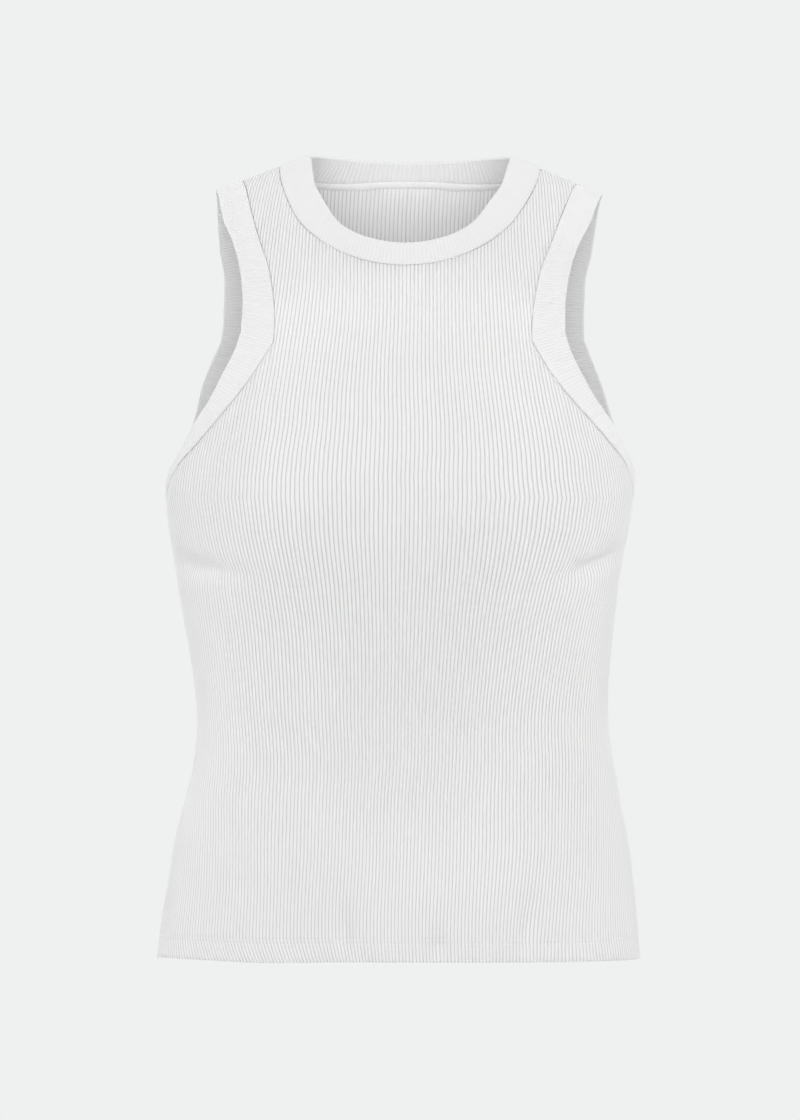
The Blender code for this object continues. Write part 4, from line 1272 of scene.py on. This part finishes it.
def area_light(name, place, target, size, power):
    """Square area light at a place, turned to a target."""
    data = bpy.data.lights.new(name, "AREA")
    data.energy, data.size, data.shape = power, size, "SQUARE"
    lamp = bpy.data.objects.new(name, data)
    lamp.location = place
    lamp.rotation_euler = aim(place, target)
    lamp.visible_camera = False
    bpy.context.scene.collection.objects.link(lamp)
    return lamp


def aim(place, target):
    """Euler turn that points local -Z from a place to a target."""
    return (Vector(target) - Vector(place)).to_track_quat("-Z", "Y").to_euler()


class TANKTOP_OT_stage(bpy.types.Operator):
    """Set up the backdrop, the soft studio light and the camera"""
    bl_idname = "object.tank_top_stage"
    bl_label = "Studio"

    def execute(self, context):
        scene, stage = context.scene, context.scene.tank_top_stage
        colour = tuple(stage.backdrop)
        turn = np.linspace(0, np.pi / 2, 13)
        run = np.concatenate([[-SWEEP_HALF], BEND_FROM + BEND * np.sin(turn), [BEND_FROM + BEND]])
        rise = FLOOR + np.concatenate([[0.0], BEND * (1 - np.cos(turn)), [WALL]])
        across = np.array([-SWEEP_HALF, SWEEP_HALF])
        pts = np.stack(np.broadcast_arrays(across[None, :], run[:, None], rise[:, None]), -1)
        pts = pts.reshape(-1, 3)
        i = np.arange(len(run) - 1) * 2
        faces = np.stack([i, i + 1, i + 3, i + 2], 1)
        mesh = bpy.data.meshes.new("studio_sweep")
        mesh.from_pydata(pts.tolist(), [], faces.tolist())
        mesh.materials.append(plain_emission("studio_paper", colour))
        sweep = bpy.data.objects.new("studio_sweep", mesh)
        scene.collection.objects.link(sweep)
        for kind in ("diffuse", "glossy", "transmission", "shadow"):
            setattr(sweep, "visible_" + kind, False)

        world = bpy.data.worlds.new("studio_air")
        world.use_nodes = True
        tree = world.node_tree
        tree.nodes.clear()
        kinds = ("LightPath", "Background", "Background", "MixShader", "OutputWorld", "TexCoord",
                 "SeparateXYZ")
        path, seen, light, mix, out, coords, split = (tree.nodes.new("ShaderNode" + kind)
                                                      for kind in kinds)
        tree.links.new(coords.outputs["Generated"], split.inputs[0])
        seen.inputs["Color"].default_value = (*colour, 1)
        light.inputs["Color"].default_value = (1, 1, 1, 1)
        more = ramp(tree, split.outputs["Y"], AIR_START, AIR_FULL, AIR_LEAST, stage.glow)
        less = ramp(tree, split.outputs["Y"], AIR_FULL, AIR_GONE, 0.0, stage.glow - AIR_STAYS)
        wire(tree, calc(tree, "SUBTRACT", more, less), light.inputs["Strength"])
        tree.links.new(path.outputs["Is Camera Ray"], mix.inputs[0])
        tree.links.new(light.outputs[0], mix.inputs[1])
        tree.links.new(seen.outputs[0], mix.inputs[2])
        tree.links.new(mix.outputs[0], out.inputs["Surface"])
        scene.world = world

        centre = (0.0, 0.0, LIT_Z)
        area_light("key_front", (0.0, -3.4, -0.1), centre, 2.6, stage.key)
        area_light("soft_top", (0.3, -3.0, 1.0), centre, 2.4, stage.top)

        data = bpy.data.cameras.new("studio_camera")
        data.sensor_fit, data.sensor_width = "HORIZONTAL", SENSOR
        data.lens = SENSOR * stage.distance / VIEW_WIDTH
        data.clip_end = 100.0
        camera = bpy.data.objects.new("studio_camera", data)
        camera.location = (VIEW_X, -stage.distance, VIEW_Z)
        camera.rotation_euler = (np.pi / 2, 0.0, 0.0)
        scene.collection.objects.link(camera)
        scene.camera = camera
        scene.view_settings.view_transform = "Standard"
        return {"FINISHED"}


class TANKTOP_PT_sidebar(bpy.types.Panel):
    """Builds the tank top piece by piece"""
    bl_idname = "TANKTOP_PT_sidebar"
    bl_label = "Tank Top"
    bl_space_type = "VIEW_3D"
    bl_region_type = "UI"
    bl_category = "Tank Top"

    def draw(self, context):
        for group in ("tank_top_knit", "tank_top_sewing", "tank_top_stage"):
            box = self.layout.box()
            settings = getattr(context.scene, group)
            for name in settings.__annotations__:
                box.prop(settings, name)
        for operator in OPERATORS:
            self.layout.operator(operator.bl_idname)


OPERATORS = (TANKTOP_OT_stage, TANKTOP_OT_panels, TANKTOP_OT_neckband, TANKTOP_OT_armbands,
             TANKTOP_OT_seams, TANKTOP_OT_hem_stitching)
CLASSES = (TankTopKnit, TankTopSewing, TankTopStage, *OPERATORS, TANKTOP_PT_sidebar)


def register():
    """Register the classes and their settings on the scene."""
    for cls in CLASSES:
        bpy.utils.register_class(cls)
    bpy.types.Scene.tank_top_knit = bpy.props.PointerProperty(type=TankTopKnit)
    bpy.types.Scene.tank_top_sewing = bpy.props.PointerProperty(type=TankTopSewing)
    bpy.types.Scene.tank_top_stage = bpy.props.PointerProperty(type=TankTopStage)


def unregister():
    """Remove the settings and the classes."""
    for name in ("tank_top_knit", "tank_top_sewing", "tank_top_stage"):
        delattr(bpy.types.Scene, name)
    for cls in reversed(CLASSES):
        bpy.utils.unregister_class(cls)


def main():
    register()
    bpy.ops.object.tank_top_stage()
    bpy.ops.object.tank_top_panels()
    bpy.ops.object.tank_top_neckband()
    bpy.ops.object.tank_top_armbands()
    bpy.ops.object.tank_top_seams()
    bpy.ops.object.tank_top_hem_stitching()


if __name__ == "__main__":
    main()
